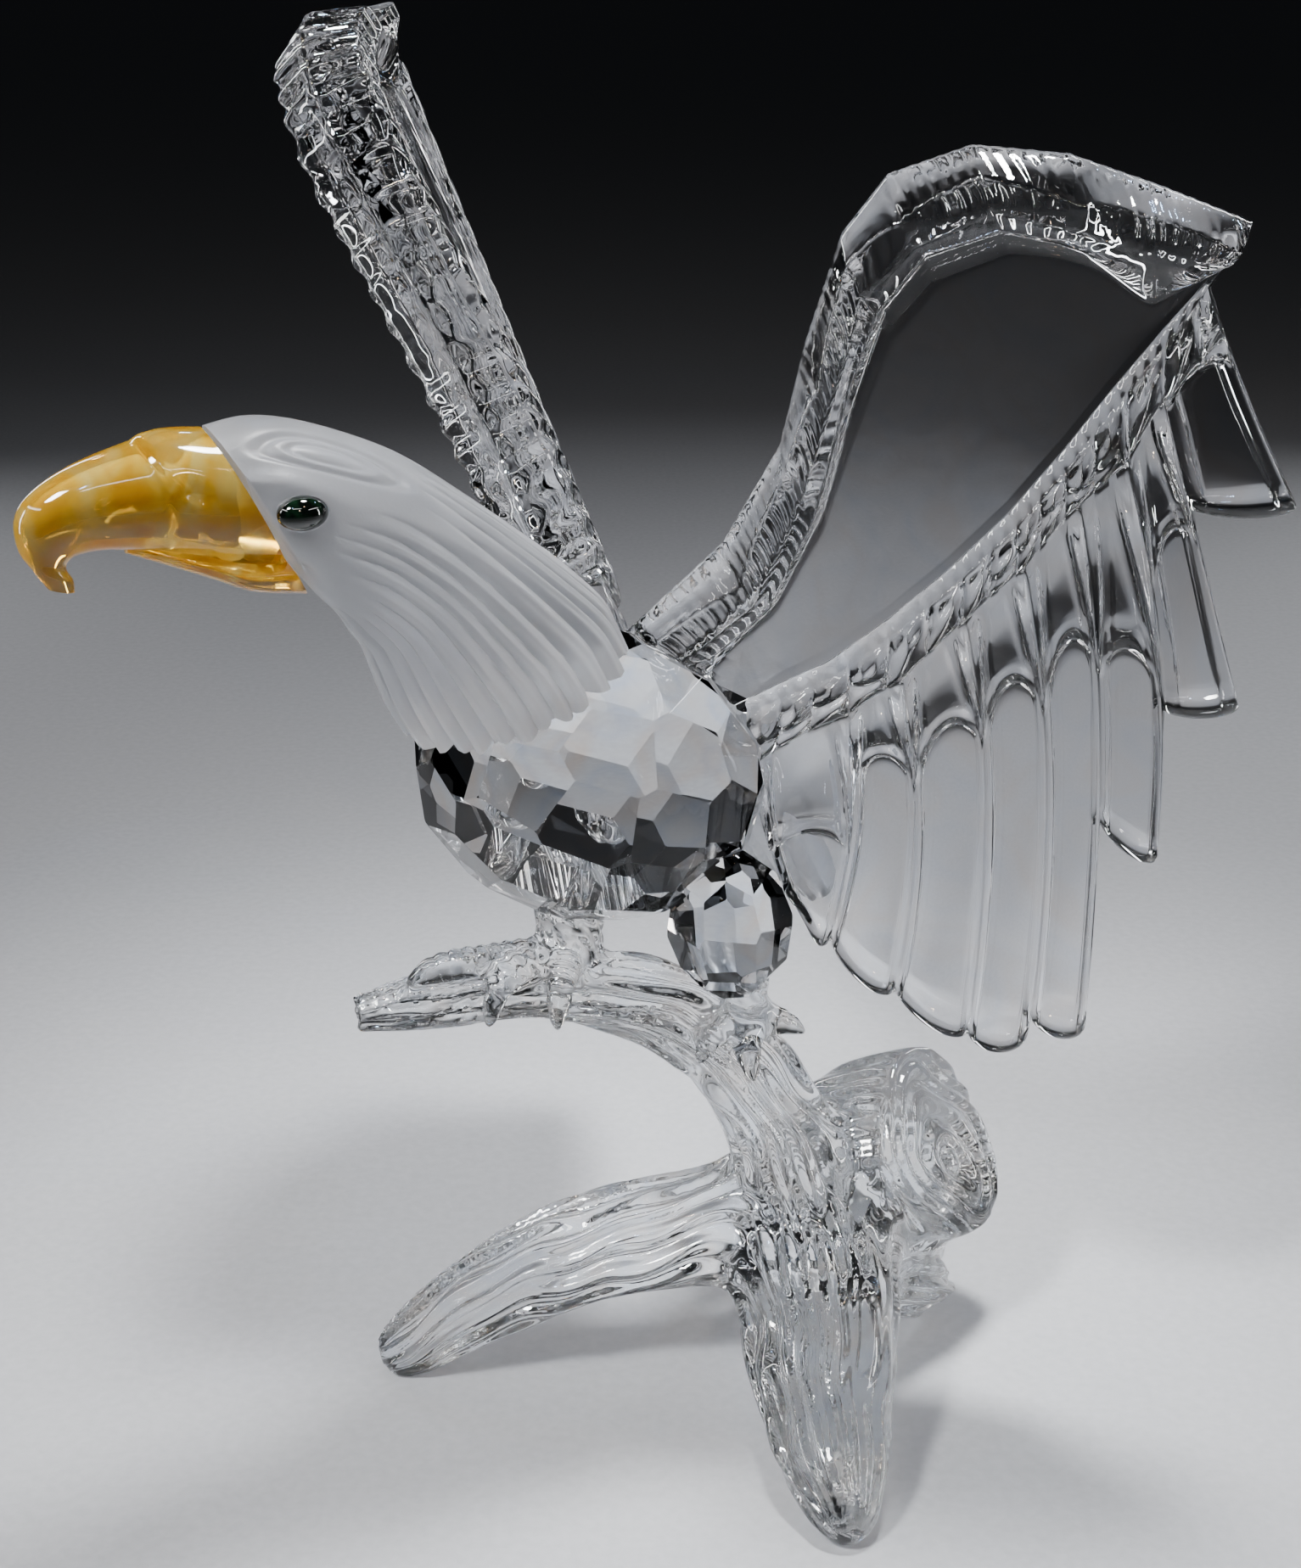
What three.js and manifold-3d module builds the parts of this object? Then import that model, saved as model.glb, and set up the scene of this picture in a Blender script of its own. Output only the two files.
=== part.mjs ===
// Crystal eagle landing on a branch, a table figurine in cut and moulded glass.
// Millimetres, +Z up. X runs along the perch, and -Y is the side that is seen first.
import * as THREE from 'three';
import { mergeVertices } from 'three/addons/utils/BufferGeometryUtils.js';
import { ConvexHull } from 'three/addons/math/ConvexHull.js';
import { ConvexGeometry } from 'three/addons/geometries/ConvexGeometry.js';
import Module from 'manifold-3d';

const wasm = await Module();
wasm.setup();

// Driving dimensions
const HEIGHT = 136;
const JOINT_GAP = 0.3;
const WING_RIM_THICKNESS = 9;
const WING_RIM_WIDTH = 6.5;
const WING_PANEL_THICKNESS = 4;
const RIDGE_RISE = 1.8;
const FEATHER_THICKNESS = 3.2;
const TAIL_THICKNESS = 4;
const EYE_LENGTH = 4.4;
const EYE_HEIGHT = 3.0;
const NECK_FLUTES = 26;
const NECK_FLUTE_DEPTH = 0.32;
const BARK_FLUTES = 5;
const BARK_DEPTH = 0.09;

// The pose is drawn on a grid of 136 squares up the height, so one square is 1 mm at 136 mm.
const GRID_ROWS = 136;
const SQUARE = HEIGHT / GRID_ROWS;
const at = (x, y, z) => new THREE.Vector3(x, y, z).multiplyScalar(SQUARE);
const flat = (x, y) => new THREE.Vector2(x, y).multiplyScalar(SQUARE);
const mix = (a, b, share) => a + (b - a) * share;

// Solids
function signedVolume(position, index) {
  const a = new THREE.Vector3();
  const b = new THREE.Vector3();
  const c = new THREE.Vector3();
  let sum = 0;
  for (let i = 0; i < index.length; i += 3) {
    a.fromArray(position, 3 * index[i]);
    b.fromArray(position, 3 * index[i + 1]);
    c.fromArray(position, 3 * index[i + 2]);
    sum += a.dot(b.cross(c)) / 6;
  }
  return sum;
}

function closedGeometry(points, index) {
  const position = new Float32Array(points.flatMap((p) => [p.x, p.y, p.z]));
  if (signedVolume(position, index) < 0) {
    index.reverse();
  }
  const geometry = new THREE.BufferGeometry();
  geometry.setAttribute('position', new THREE.BufferAttribute(position, 3));
  geometry.setIndex(index);
  return geometry;
}

function toSolid(geometry) {
  const bare = geometry.clone();
  bare.deleteAttribute('normal');
  bare.deleteAttribute('uv');
  const merged = mergeVertices(bare, 1e-4);
  return new wasm.Manifold(new wasm.Mesh({
    numProp: 3,
    vertProperties: new Float32Array(merged.getAttribute('position').array),
    triVerts: new Uint32Array(merged.getIndex().array),
  }));
}

function toGeometry(solid) {
  const mesh = solid.getMesh();
  const geometry = new THREE.BufferGeometry();
  geometry.setAttribute('position', new THREE.BufferAttribute(new Float32Array(mesh.vertProperties), 3));
  geometry.setIndex([...mesh.triVerts]);
  return geometry;
}

// A skin through rings of equal point counts, closed by a fan at each end.
function loft(rings) {
  const sides = rings[0].length;
  const middle = (ring) => ring.reduce((sum, p) => sum.add(p), new THREE.Vector3()).divideScalar(sides);
  const points = [...rings.flat(), middle(rings[0]), middle(rings.at(-1))];
  const index = [];
  const last = (rings.length - 1) * sides;
  for (let j = 0; j < sides; j += 1) {
    const k = (j + 1) % sides;
    for (let i = 0; i < rings.length - 1; i += 1) {
      const a = i * sides;
      const b = a + sides;
      index.push(a + j, a + k, b + k, a + j, b + k, b + j);
    }
    index.push(points.length - 2, k, j, points.length - 1, last + j, last + k);
  }
  return closedGeometry(points, index);
}

// A plate between two grids of points, closed by a wall round its border.
function plate(front, back) {
  const rows = front.length;
  const columns = front[0].length;
  const points = [...front.flat(), ...back.flat()];
  const behind = rows * columns;
  const index = [];
  const quad = (a, b, c, d) => index.push(a, b, c, a, c, d);
  for (let i = 0; i < rows - 1; i += 1) {
    for (let j = 0; j < columns - 1; j += 1) {
      const a = i * columns + j;
      quad(a, a + 1, a + columns + 1, a + columns);
      quad(behind + a, behind + a + columns, behind + a + columns + 1, behind + a + 1);
    }
  }
  for (let j = 0; j < columns - 1; j += 1) {
    const low = (rows - 1) * columns + j;
    quad(j, behind + j, behind + j + 1, j + 1);
    quad(low, low + 1, behind + low + 1, behind + low);
  }
  for (let i = 0; i < rows - 1; i += 1) {
    const left = i * columns;
    const right = left + columns - 1;
    quad(left, left + columns, behind + left + columns, behind + left);
    quad(right, behind + right, behind + right + columns, right + columns);
  }
  return closedGeometry(points, index);
}

// A limb follows a smooth path. Its section is an oval with long flutes that swirl round it.
function limb(path, radii, { sides = 15, steps = 11, flutes = BARK_FLUTES, depth = BARK_DEPTH,
  swirl = 1.4, squash = 1 } = {}) {
  const curve = new THREE.CatmullRomCurve3(path.map((p) => at(...p)), false, 'centripetal');
  const size = new THREE.SplineCurve(radii.map((r, i) => new THREE.Vector2(i, r * SQUARE)));
  const rings = [];
  for (let i = 0; i <= steps; i += 1) {
    const share = i / steps;
    const centre = curve.getPoint(share);
    const ahead = curve.getTangent(share);
    const side = new THREE.Vector3(-ahead.y, ahead.x, 0);
    if (side.length() < 1e-3) {
      side.set(1, 0, 0);
    }
    side.normalize();
    const upward = ahead.clone().cross(side).normalize();
    const radius = size.getPoint(share).y;
    const ring = [];
    for (let j = 0; j < sides; j += 1) {
      const angle = 2 * Math.PI * j / sides;
      const reach = radius * (1 + depth * Math.cos(flutes * angle + swirl * share * Math.PI));
      ring.push(centre.clone()
        .addScaledVector(side, reach * Math.cos(angle))
        .addScaledVector(upward, reach * squash * Math.sin(angle)));
    }
    rings.push(ring);
  }
  return toSolid(loft(rings));
}

// A cut stone: flat facets that each touch an egg shape, in staggered rows about its long axis.
// The facets' corners are the poles of the hull of the points where the facets touch.
function stone({ centre, axis, half, rows, grow = 0 }) {
  const touches = [];
  rows.forEach((count, row) => {
    const tilt = Math.PI * row / (rows.length - 1);
    for (let i = 0; i < count; i += 1) {
      const turn = 2 * Math.PI * (i + 0.5 * (row % 2)) / count + 0.35 * row;
      touches.push(new THREE.Vector3(
        Math.sin(tilt) * Math.cos(turn), Math.sin(tilt) * Math.sin(turn), Math.cos(tilt)));
    }
  });
  const corners = new ConvexHull().setFromPoints(touches).faces
    .map((face) => face.normal.clone().divideScalar(face.constant));
  const turned = new THREE.Quaternion().setFromUnitVectors(new THREE.Vector3(0, 0, 1), axis);
  const geometry = new ConvexGeometry(corners);
  geometry.scale(...half.map((size) => size * SQUARE + grow));
  geometry.applyQuaternion(turned);
  geometry.translate(centre.x, centre.y, centre.z);
  return toSolid(geometry);
}

// Body
const BODY = {
  centre: at(-5.8, 0, 66.2),
  axis: at(-0.88, -0.3, 0.37).normalize(),
  half: [13.5, 13.5, 17],
  rows: [1, 6, 10, 12, 12, 10, 6, 1],
};
const THIGH = {
  centre: at(7.6, -6.5, 53.6),
  axis: at(0.12, -0.1, -1).normalize(),
  half: [5.4, 5.4, 7.2],
  rows: [1, 5, 7, 7, 5, 1],
};
const body = stone(BODY);
const bodySeat = stone({ ...BODY, grow: JOINT_GAP });
const thighSeat = stone({ ...THIGH, grow: JOINT_GAP });
const thigh = stone(THIGH).subtract(bodySeat);

// Head and neck, drawn on an upright plane that runs through the bird's head.
// On it, x is forward along the beak and y is up, both from the middle of the face.
const HEAD_PLANE = {
  origin: at(-33.8, -14, 96.7),
  forward: at(-0.908, -0.419, 0).normalize(),
  upward: new THREE.Vector3(0, 0, 1),
};
HEAD_PLANE.side = HEAD_PLANE.upward.clone().cross(HEAD_PLANE.forward).normalize();
const onHead = (p, side = 0) => HEAD_PLANE.origin.clone()
  .addScaledVector(HEAD_PLANE.forward, p.x)
  .addScaledVector(HEAD_PLANE.upward, p.y)
  .addScaledVector(HEAD_PLANE.side, side);

// Each station is the top point, the under point and half the width of one section.
const NECK = [
  [3.7, 7.0, -3.8, -7.2, 6.6],
  [0.0, 7.5, -5.0, -8.8, 7.3],
  [-4.1, 6.8, -5.9, -9.8, 7.7],
  [-9.3, 4.9, -6.9, -10.9, 8.0],
  [-13.8, 2.6, -7.8, -12.2, 8.3],
  [-19.0, -1.2, -9.1, -13.9, 8.9],
  [-23.2, -4.6, -9.9, -15.8, 9.5],
  [-28.1, -8.8, -10.9, -18.8, 10.3],
  [-31.4, -12.1, -11.9, -21.2, 11.0],
  [-33.2, -15.5, -13.1, -23.2, 11.4],
];
const UPPER_BILL = [
  [3.7, 6.9, -2.4, -5.8, 6.0],
  [7.2, 7.1, 1.6, -5.0, 5.4],
  [10.5, 6.4, 4.6, -4.0, 4.8],
  [14.0, 5.3, 8.4, -3.0, 4.0],
  [16.9, 3.9, 12.4, -2.3, 3.2],
  [19.0, 2.3, 14.9, -2.4, 2.6],
  [19.9, 0.6, 15.9, -2.9, 2.1],
  [19.8, -1.6, 16.1, -3.6, 1.5],
  [18.8, -3.2, 16.0, -4.4, 1.0],
  [17.4, -4.7, 16.2, -5.2, 0.5],
];
const LOWER_BILL = [
  [-1.5, -3.6, -3.7, -7.9, 4.9],
  [1.8, -3.8, 1.0, -7.2, 4.2],
  [5.0, -3.0, 4.4, -5.7, 3.2],
  [8.4, -2.2, 8.2, -4.1, 2.2],
  [11.0, -1.8, 11.0, -3.0, 1.0],
];

// Rings through the stations, with extra ones in between, each with its own places round it.
function sections(stations, steps, sides, reach = () => 1, shift = 0) {
  const across = [0, 2].map((k) => new THREE.SplineCurve(stations.map((s) => flat(s[k], s[k + 1]))));
  const width = new THREE.SplineCurve(stations.map((s, i) => new THREE.Vector2(i, s[4] * SQUARE)));
  const rings = [];
  for (let i = 0; i <= steps; i += 1) {
    const share = i / steps;
    const top = across[0].getPoint(share);
    const under = across[1].getPoint(share);
    const middle = top.clone().add(under).multiplyScalar(0.5);
    const half = top.clone().sub(under).multiplyScalar(0.5);
    const ahead = new THREE.Vector2(half.y, -half.x).normalize();
    const ring = [];
    for (let j = 0; j < sides; j += 1) {
      const angle = 2 * Math.PI * j / sides;
      const { radial = 1, along = 0 } = reach(share, j, angle);
      const p = middle.clone()
        .addScaledVector(half, radial * Math.cos(angle))
        .addScaledVector(ahead, along + shift);
      ring.push(onHead(p, radial * width.getPoint(share).y * Math.sin(angle)));
    }
    rings.push(ring);
  }
  return toSolid(loft(rings));
}

// Neck feathers are flutes that grow from behind the eye to the rim, where each one ends in a scallop.
const RIM_SCALLOP = 1.3;
function featherFlutes(share, j) {
  const crest = j % 2 === 0 ? 1 : -1;
  const growth = THREE.MathUtils.smoothstep(share, 0.2, 0.55);
  const atRim = THREE.MathUtils.smoothstep(share, 0.93, 1);
  return {
    radial: 1 + crest * growth * NECK_FLUTE_DEPTH / 10,
    along: -crest * atRim * RIM_SCALLOP * SQUARE / 2,
  };
}

const EYE = { x: -2.2, y: 0.6, side: 7.0 };
function eyeBead(sign, grow = 0) {
  const bead = new THREE.IcosahedronGeometry(1, 1);
  bead.scale(EYE_LENGTH / 2 + grow, EYE_HEIGHT / 2 + grow, EYE_HEIGHT / 2 + grow);
  const basis = new THREE.Matrix4().makeBasis(
    HEAD_PLANE.forward,
    HEAD_PLANE.upward,
    HEAD_PLANE.forward.clone().cross(HEAD_PLANE.upward),
  );
  bead.applyMatrix4(basis);
  const centre = onHead(flat(EYE.x, EYE.y), sign * EYE.side * SQUARE);
  bead.translate(centre.x, centre.y, centre.z);
  return toSolid(bead);
}

const SIDES = [1, -1];
const eyes = SIDES.map((sign) => eyeBead(sign));
const head = SIDES.reduce(
  (solid, sign) => solid.subtract(eyeBead(sign, JOINT_GAP)),
  sections(NECK, 12, 2 * NECK_FLUTES, featherFlutes).subtract(bodySeat),
);
const beak = sections(UPPER_BILL, 12, 12, undefined, JOINT_GAP)
  .add(sections(LOWER_BILL, 5, 10, undefined, JOINT_GAP));

// Wings. Each one is drawn flat, with x along the span and y up from the shoulder, and one drawing
// serves both. The sheet is a thick bevelled slab above a bubbly ridge, and feathers fan out below it.
const LEADING_EDGE = [[-13, 6], [-2.5, 16.8], [3, 27], [5.2, 36.8], [8.2, 46.5], [12, 51.6], [19, 54.2],
  [27, 53.6], [34.5, 51.2], [42.6, 48.2]];
// A quill line starts on the ridge, passes a middle point and ends at a feather's tip.
const QUILLS = [
  [[0, 0], [1.8, -10.5], [4.6, -18.5]],
  [[8.6, 5.0], [11.1, -7.3], [9.0, -22.8]],
  [[13.8, 9.6], [17.0, -8.0], [15.7, -26.9]],
  [[19.4, 15.2], [23.4, -4.0], [23.1, -30.0]],
  [[24.5, 21.0], [28.9, -1.0], [29.0, -29.0]],
  [[29.0, 27.2], [33.4, 4.0], [34.4, -27.0]],
  [[32.2, 32.2], [38.0, 12.0], [39.6, -8.7]],
  [[35.4, 37.0], [39.8, 23.6], [45.5, 6.9]],
  [[39.4, 43.2], [43.4, 34.4], [48.5, 25.2]],
];
// How far down its left quill line each feather starts, and how far its tip bulges past both corners.
const LEFT_CORNERS = [1, 1, 1, 1, 0.97, 0.68, 0.66, 0.49];
const TIP_BULGE = [2.4, 2.2, 2.0, 2.4, 2.0, 1.6, 1.2, 1.2];
// How far down each feather its covert reaches.
const COVERT_ENDS = [0.62, 0.36, 0.34, 0.33, 0.34, 0.55, 0.5, 0.3];
const FEATHERS = LEFT_CORNERS.length;
const FOLD = 0.25;
// Columns stand at these shares of a feather's width: a rib at each border, a hollow between them.
const COLUMN_SHARES = [0.02, 0.2, 0.8, 0.98];
const RIDGE_WIDTH = 4.6;
const RIM_BEVEL = 2.2;
const RIM_CREASE = 1.4;
const RIM_FLUTE_DEPTH = 0.35;
const COVERT_PUFF = 1.3;
const RIB_RISE = 0.7;

const leadingEdge = new THREE.SplineCurve(LEADING_EDGE.map((p) => flat(...p)));
const quills = QUILLS.map(([root, middle, tip]) => {
  const bend = flat(...middle).multiplyScalar(2)
    .addScaledVector(flat(...root).add(flat(...tip)), -0.5);
  return new THREE.QuadraticBezierCurve(flat(...root), bend, flat(...tip));
});
const ridgeDirection = quills.at(-1).getPoint(0).sub(quills[0].getPoint(0)).normalize();

// One column of the wing, from the leading edge to the feather's tip. Each point is its place on the
// drawing and how far the front face and the back face stand from the middle of the sheet.
function wingColumn(feather, share) {
  const left = quills[feather];
  const right = quills[feather + 1];
  const edge = leadingEdge.getPoint((feather + share) / FEATHERS);
  const ridge = left.getPoint(0).lerp(right.getPoint(0), share);
  const down = ridge.clone().sub(edge);
  const panelLength = down.length();
  down.normalize();
  const column = [];
  const add = (place, front, back) => column.push({ place, front: front * SQUARE, back: back * SQUARE });
  const fromEdge = (distance) => edge.clone()
    .addScaledVector(down, Math.min(distance * SQUARE, 0.7 * panelLength));

  const inner = share > 0.1 && share < 0.9;
  const rim = WING_RIM_THICKNESS / 2;
  const panel = WING_PANEL_THICKNESS / 2;
  const flute = (inner ? 1 : -1) * RIM_FLUTE_DEPTH / 2;
  add(edge, RIM_CREASE, 0);
  add(fromEdge(RIM_BEVEL), rim + flute, rim + flute);
  add(fromEdge(WING_RIM_WIDTH - 1), rim + flute, rim - flute);
  add(fromEdge(WING_RIM_WIDTH + 1), panel, panel);
  add(ridge, panel, panel);

  const leftShare = LEFT_CORNERS[feather];
  const tipShare = mix(leftShare, 1, share);
  const fall = left.getTangent(leftShare).lerp(right.getTangent(1), share).normalize();
  const bulge = TIP_BULGE[feather] * SQUARE * Math.sqrt(1 - (2 * share - 1) ** 2);
  const along = (reach) => left.getPoint(reach * leftShare)
    .lerp(right.getPoint(reach), share)
    .addScaledVector(fall, bulge * reach ** 4);
  const length = along(1).distanceTo(ridge);
  const ridgeShare = Math.min(RIDGE_WIDTH * SQUARE / length, 0.3);
  const covertEnd = COVERT_ENDS[feather];
  const half = FEATHER_THICKNESS / 2;
  const puff = inner ? COVERT_PUFF : 0.2 * COVERT_PUFF;
  const rib = inner ? 0 : RIB_RISE;
  add(along(ridgeShare * 0.5), panel + RIDGE_RISE, panel + 0.6 * RIDGE_RISE);
  add(along(ridgeShare), panel + 0.2 * RIDGE_RISE, panel);
  add(along(mix(ridgeShare, covertEnd, 0.6)), half + puff, half + 0.5 * puff);
  add(along(covertEnd), half + 0.8 * puff, half + 0.4 * puff);
  add(along(covertEnd + 0.04), half * 0.9 + rib, half * 0.9);
  add(along(0.94), half * 0.7 + rib, half * 0.6);
  add(along(1), half * (0.4 + 0.1 * tipShare), half * 0.4);
  return column;
}

function wingPlate(frame, grow = 0) {
  const front = [];
  const back = [];
  for (let feather = 0; feather < FEATHERS; feather += 1) {
    for (const share of COLUMN_SHARES) {
      const column = wingColumn(feather, share);
      const stand = (point, offset) => {
        const below = point.x * ridgeDirection.y - point.y * ridgeDirection.x;
        const folded = FOLD * Math.max(0, below);
        return frame.origin.clone()
          .addScaledVector(frame.span, point.x)
          .addScaledVector(frame.rise, point.y)
          .addScaledVector(frame.front, folded + offset);
      };
      front.push(column.map(({ place, front: offset }) => stand(place, offset + grow)));
      back.push(column.map(({ place, back: offset }) => stand(place, -offset - grow)));
    }
  }
  return toSolid(plate(front, back));
}

// A wing's frame comes from the heading of its span, its lean to the front and its roll in its plane.
function wingFrame({ origin, heading, lean, roll, hand }) {
  const turn = THREE.MathUtils.degToRad(heading);
  const tip = THREE.MathUtils.degToRad(lean);
  const spin = THREE.MathUtils.degToRad(roll);
  const level = new THREE.Vector3(Math.cos(turn), Math.sin(turn), 0);
  const ahead = new THREE.Vector3(Math.sin(turn), -Math.cos(turn), 0).multiplyScalar(hand);
  const upright = new THREE.Vector3(0, 0, Math.cos(tip)).addScaledVector(ahead, Math.sin(tip));
  const front = ahead.clone().multiplyScalar(Math.cos(tip)).add(new THREE.Vector3(0, 0, -Math.sin(tip)));
  const span = level.clone().multiplyScalar(Math.cos(spin)).addScaledVector(upright, Math.sin(spin));
  const rise = upright.clone().multiplyScalar(Math.cos(spin)).addScaledVector(level, -Math.sin(spin));
  return { origin, span, rise, front };
}

const LEFT_WING = wingFrame({ origin: at(9.6, 5, 71.8), heading: -10, lean: 8, roll: 0, hand: 1 });
const RIGHT_WING = wingFrame({ origin: at(-6.5, 13, 82), heading: 86, lean: 27, roll: 16, hand: -1 });

// The shoulder is a short oval neck of glass that carries a wing from its root down to the body.
function shoulder(frame) {
  const onWing = (x, y, out) => frame.origin.clone()
    .addScaledVector(frame.span, x * SQUARE)
    .addScaledVector(frame.rise, y * SQUARE)
    .addScaledVector(frame.front, out * SQUARE)
    .divideScalar(SQUARE)
    .toArray();
  const inside = BODY.centre.clone().divideScalar(SQUARE).toArray();
  const path = [onWing(-1, 12, 0), onWing(-6, 5, 0), inside];
  return limb(path, [2.6, 3.4, 4], { sides: 12, steps: 4, depth: 0 });
}

// The wings keep clear of the neck with its flutes and its scalloped rim.
const neckSeat = sections(NECK, 12, 2 * NECK_FLUTES, (share) => ({
  radial: 1 + (JOINT_GAP + NECK_FLUTE_DEPTH) / 8,
  along: share === 1 ? -(RIM_SCALLOP / 2 + JOINT_GAP) * SQUARE : 0,
}));
const wings = [LEFT_WING, RIGHT_WING].map((frame) => wingPlate(frame)
  .add(shoulder(frame))
  .subtract(bodySeat)
  .subtract(neckSeat));
const wingSeats = [LEFT_WING, RIGHT_WING].map((frame) => wingPlate(frame, JOINT_GAP));

// Tail: a fan of frosted feathers behind the body.
const TAIL = {
  root: at(6.5, 9.2, 67),
  fall: at(0.36, 0.45, -0.82).normalize(),
  side: at(0.8, -0.6, 0).normalize(),
  length: 26,
  rootWidth: 7,
  tipWidth: 12,
  feathers: 5,
};
TAIL.front = TAIL.fall.clone().cross(TAIL.side).normalize();
TAIL.side = TAIL.front.clone().cross(TAIL.fall).normalize();
function tailPlate() {
  const front = [];
  const back = [];
  const columns = TAIL.feathers * 2;
  for (let i = 0; i <= columns; i += 1) {
    const across = 2 * i / columns - 1;
    const crest = i % 2 === 0 ? 0 : 1;
    const frontColumn = [];
    const backColumn = [];
    for (const row of [-0.1, 0.2, 0.5, 0.9, 1]) {
      const width = mix(TAIL.rootWidth, TAIL.tipWidth, Math.max(0, row)) * SQUARE;
      const tip = row === 1 ? crest * 1.4 - 2.5 * across * across : 0;
      const middle = TAIL.root.clone()
        .addScaledVector(TAIL.fall, (row * TAIL.length + tip) * SQUARE)
        .addScaledVector(TAIL.side, across * width / 2)
        .addScaledVector(TAIL.front, -0.12 * across * across * width);
      const half = TAIL_THICKNESS * SQUARE / 2 * mix(1, 0.45, Math.max(0, row)) + 0.35 * crest * SQUARE;
      frontColumn.push(middle.clone().addScaledVector(TAIL.front, half));
      backColumn.push(middle.clone().addScaledVector(TAIL.front, -half));
    }
    front.push(frontColumn);
    back.push(backColumn);
  }
  return toSolid(plate(front, back));
}
const tail = wingSeats.reduce((solid, seat) => solid.subtract(seat), tailPlate().subtract(bodySeat));

// Branch: a perch that bends down to a trunk, three roots and a sawn stump, moulded as one piece
// with the bird's feet. The underside is ground flat where it meets the table.
const perch = limb(
  [[-28.6, -9.2, 45.0], [-24, -8.2, 45.4], [-18.7, -7, 45.7], [-10.5, -5, 46.1], [0.7, -2, 42.6],
    [8, 0, 36], [12.5, 1, 28], [17.3, 1, 18]],
  [1.9, 2.7, 3.0, 3.6, 4.4, 4.9, 5.6, 7.6],
  { steps: 15 },
);
const leftRoot = limb(
  [[18, 2, 15], [11.9, 0.5, 15.6], [3, -0.5, 14.6], [-5.9, -1, 12.9], [-13, -2, 10.2], [-18.5, -3, 7.6],
    [-25, -3.8, 3.2], [-28.6, -4.3, 1.0]],
  [7.5, 7, 6.2, 5.7, 5.2, 4.5, 3.5, 2.2],
  { steps: 13 },
);
const frontRoot = limb(
  [[17.5, 5, 15], [17.2, -4, 13.6], [17.4, -11, 10.2], [17.6, -17, 7.2], [18, -25, 4.2], [18.8, -32.6, 1.1]],
  [8.5, 9, 8.2, 7, 5.4, 2.4],
  { squash: 0.8 },
);
const heelRoot = limb(
  [[18, 2, 15], [21, 11, 9.5], [24.5, 20, 4.5], [27, 28, 1.4]],
  [8, 7.4, 6, 3.2],
  { squash: 0.85, steps: 9 },
);
const stump = limb(
  [[17, 11, 12], [23, 8.5, 17.5], [30.5, 3, 22.5]],
  [9, 10, 10.4],
  { steps: 4, sides: 18, flutes: 6, depth: 0.05, swirl: 0.3 },
);
const stumpSkirt = limb(
  [[19, 4, 14], [24.5, 3.5, 10], [27.5, 6, 5], [28.5, 9, 1]],
  [8, 7.6, 6, 4],
  { steps: 6, squash: 0.8 },
);

const toe = (path, radii) => limb(path, radii, { sides: 7, steps: 5, depth: 0 });
const TOES = [
  [[[-8.5, -5.5, 49.8], [-15, -7.6, 50.2], [-20.5, -8.8, 49.8], [-23.8, -9.6, 48.2]], [2, 1.7, 1.4, 0.5]],
  [[[-9.5, -6, 50], [-14.2, -10, 48.6], [-15.6, -11.2, 44.4]], [1.9, 1.5, 0.7]],
  [[[-8, -6, 50], [-8.6, -10, 48.2], [-9, -10.6, 43.8]], [1.9, 1.5, 0.7]],
  [[[-8, -5, 50], [-6, -0.5, 49], [-6.4, 1.6, 45.5]], [1.9, 1.5, 0.7]],
  [[[10, -4.5, 42.5], [13.4, -4.2, 41.4], [15.8, -3.4, 39.6]], [1.9, 1.4, 0.5]],
  [[[9.5, -4.5, 42.5], [9.6, -7.2, 39.6], [10.4, -7.2, 36]], [1.9, 1.5, 0.6]],
  [[[9.5, -4.5, 42.5], [6.2, -6.8, 41.6], [4.6, -8, 38.6]], [1.9, 1.5, 0.6]],
];
const LEGS = [
  [[[-8.6, -5, 47], [-8, -4, 51.5], [-7.4, -3, 58]], [3.2, 3.4, 4.4]],
  [[[9.4, -3, 40], [9.6, -4.5, 44], [8.6, -6.2, 52]], [2.6, 2.2, 3]],
];
const ground = new THREE.BoxGeometry(4 * HEIGHT, 4 * HEIGHT, HEIGHT);
ground.translate(0, 0, -HEIGHT / 2);
const limbs = [leftRoot, frontRoot, heelRoot, stump, stumpSkirt,
  ...TOES.map((parts) => toe(...parts)), ...LEGS.map((parts) => toe(...parts))];
const branch = limbs.reduce((solid, next) => solid.add(next), perch)
  .subtract(toSolid(ground))
  .subtract(bodySeat)
  .subtract(thighSeat);

// Finishes
const clearCrystal = { color: 0xe6edf2, roughness: 0.03, metalness: 0 };
const frostedCrystal = { color: 0xe4e6ea, roughness: 0.6, metalness: 0 };
const amberCrystal = { color: 0xd89a24, roughness: 0.06, metalness: 0 };
const blackBead = { color: 0x0b1412, roughness: 0.05, metalness: 0 };

const figurine = new THREE.Group();
function piece(name, solid, finish) {
  const mesh = new THREE.Mesh(toGeometry(solid), new THREE.MeshStandardMaterial(finish));
  mesh.name = name;
  figurine.add(mesh);
}
piece('head_and_neck', head, frostedCrystal);
piece('beak', beak, amberCrystal);
piece('eye_left', eyes[0], blackBead);
piece('eye_right', eyes[1], blackBead);
piece('body', body, clearCrystal);
piece('wing_left', wings[0], clearCrystal);
piece('wing_right', wings[1], clearCrystal);
piece('tail', tail, frostedCrystal);
piece('thigh_left', thigh, clearCrystal);
piece('branch', branch, clearCrystal);

// The origin is on the table, under the middle of the figure.
const box = new THREE.Box3().setFromObject(figurine);
const middle = box.getCenter(new THREE.Vector3());
figurine.position.set(-middle.x, -middle.y, -box.min.z);

export default figurine;
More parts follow.
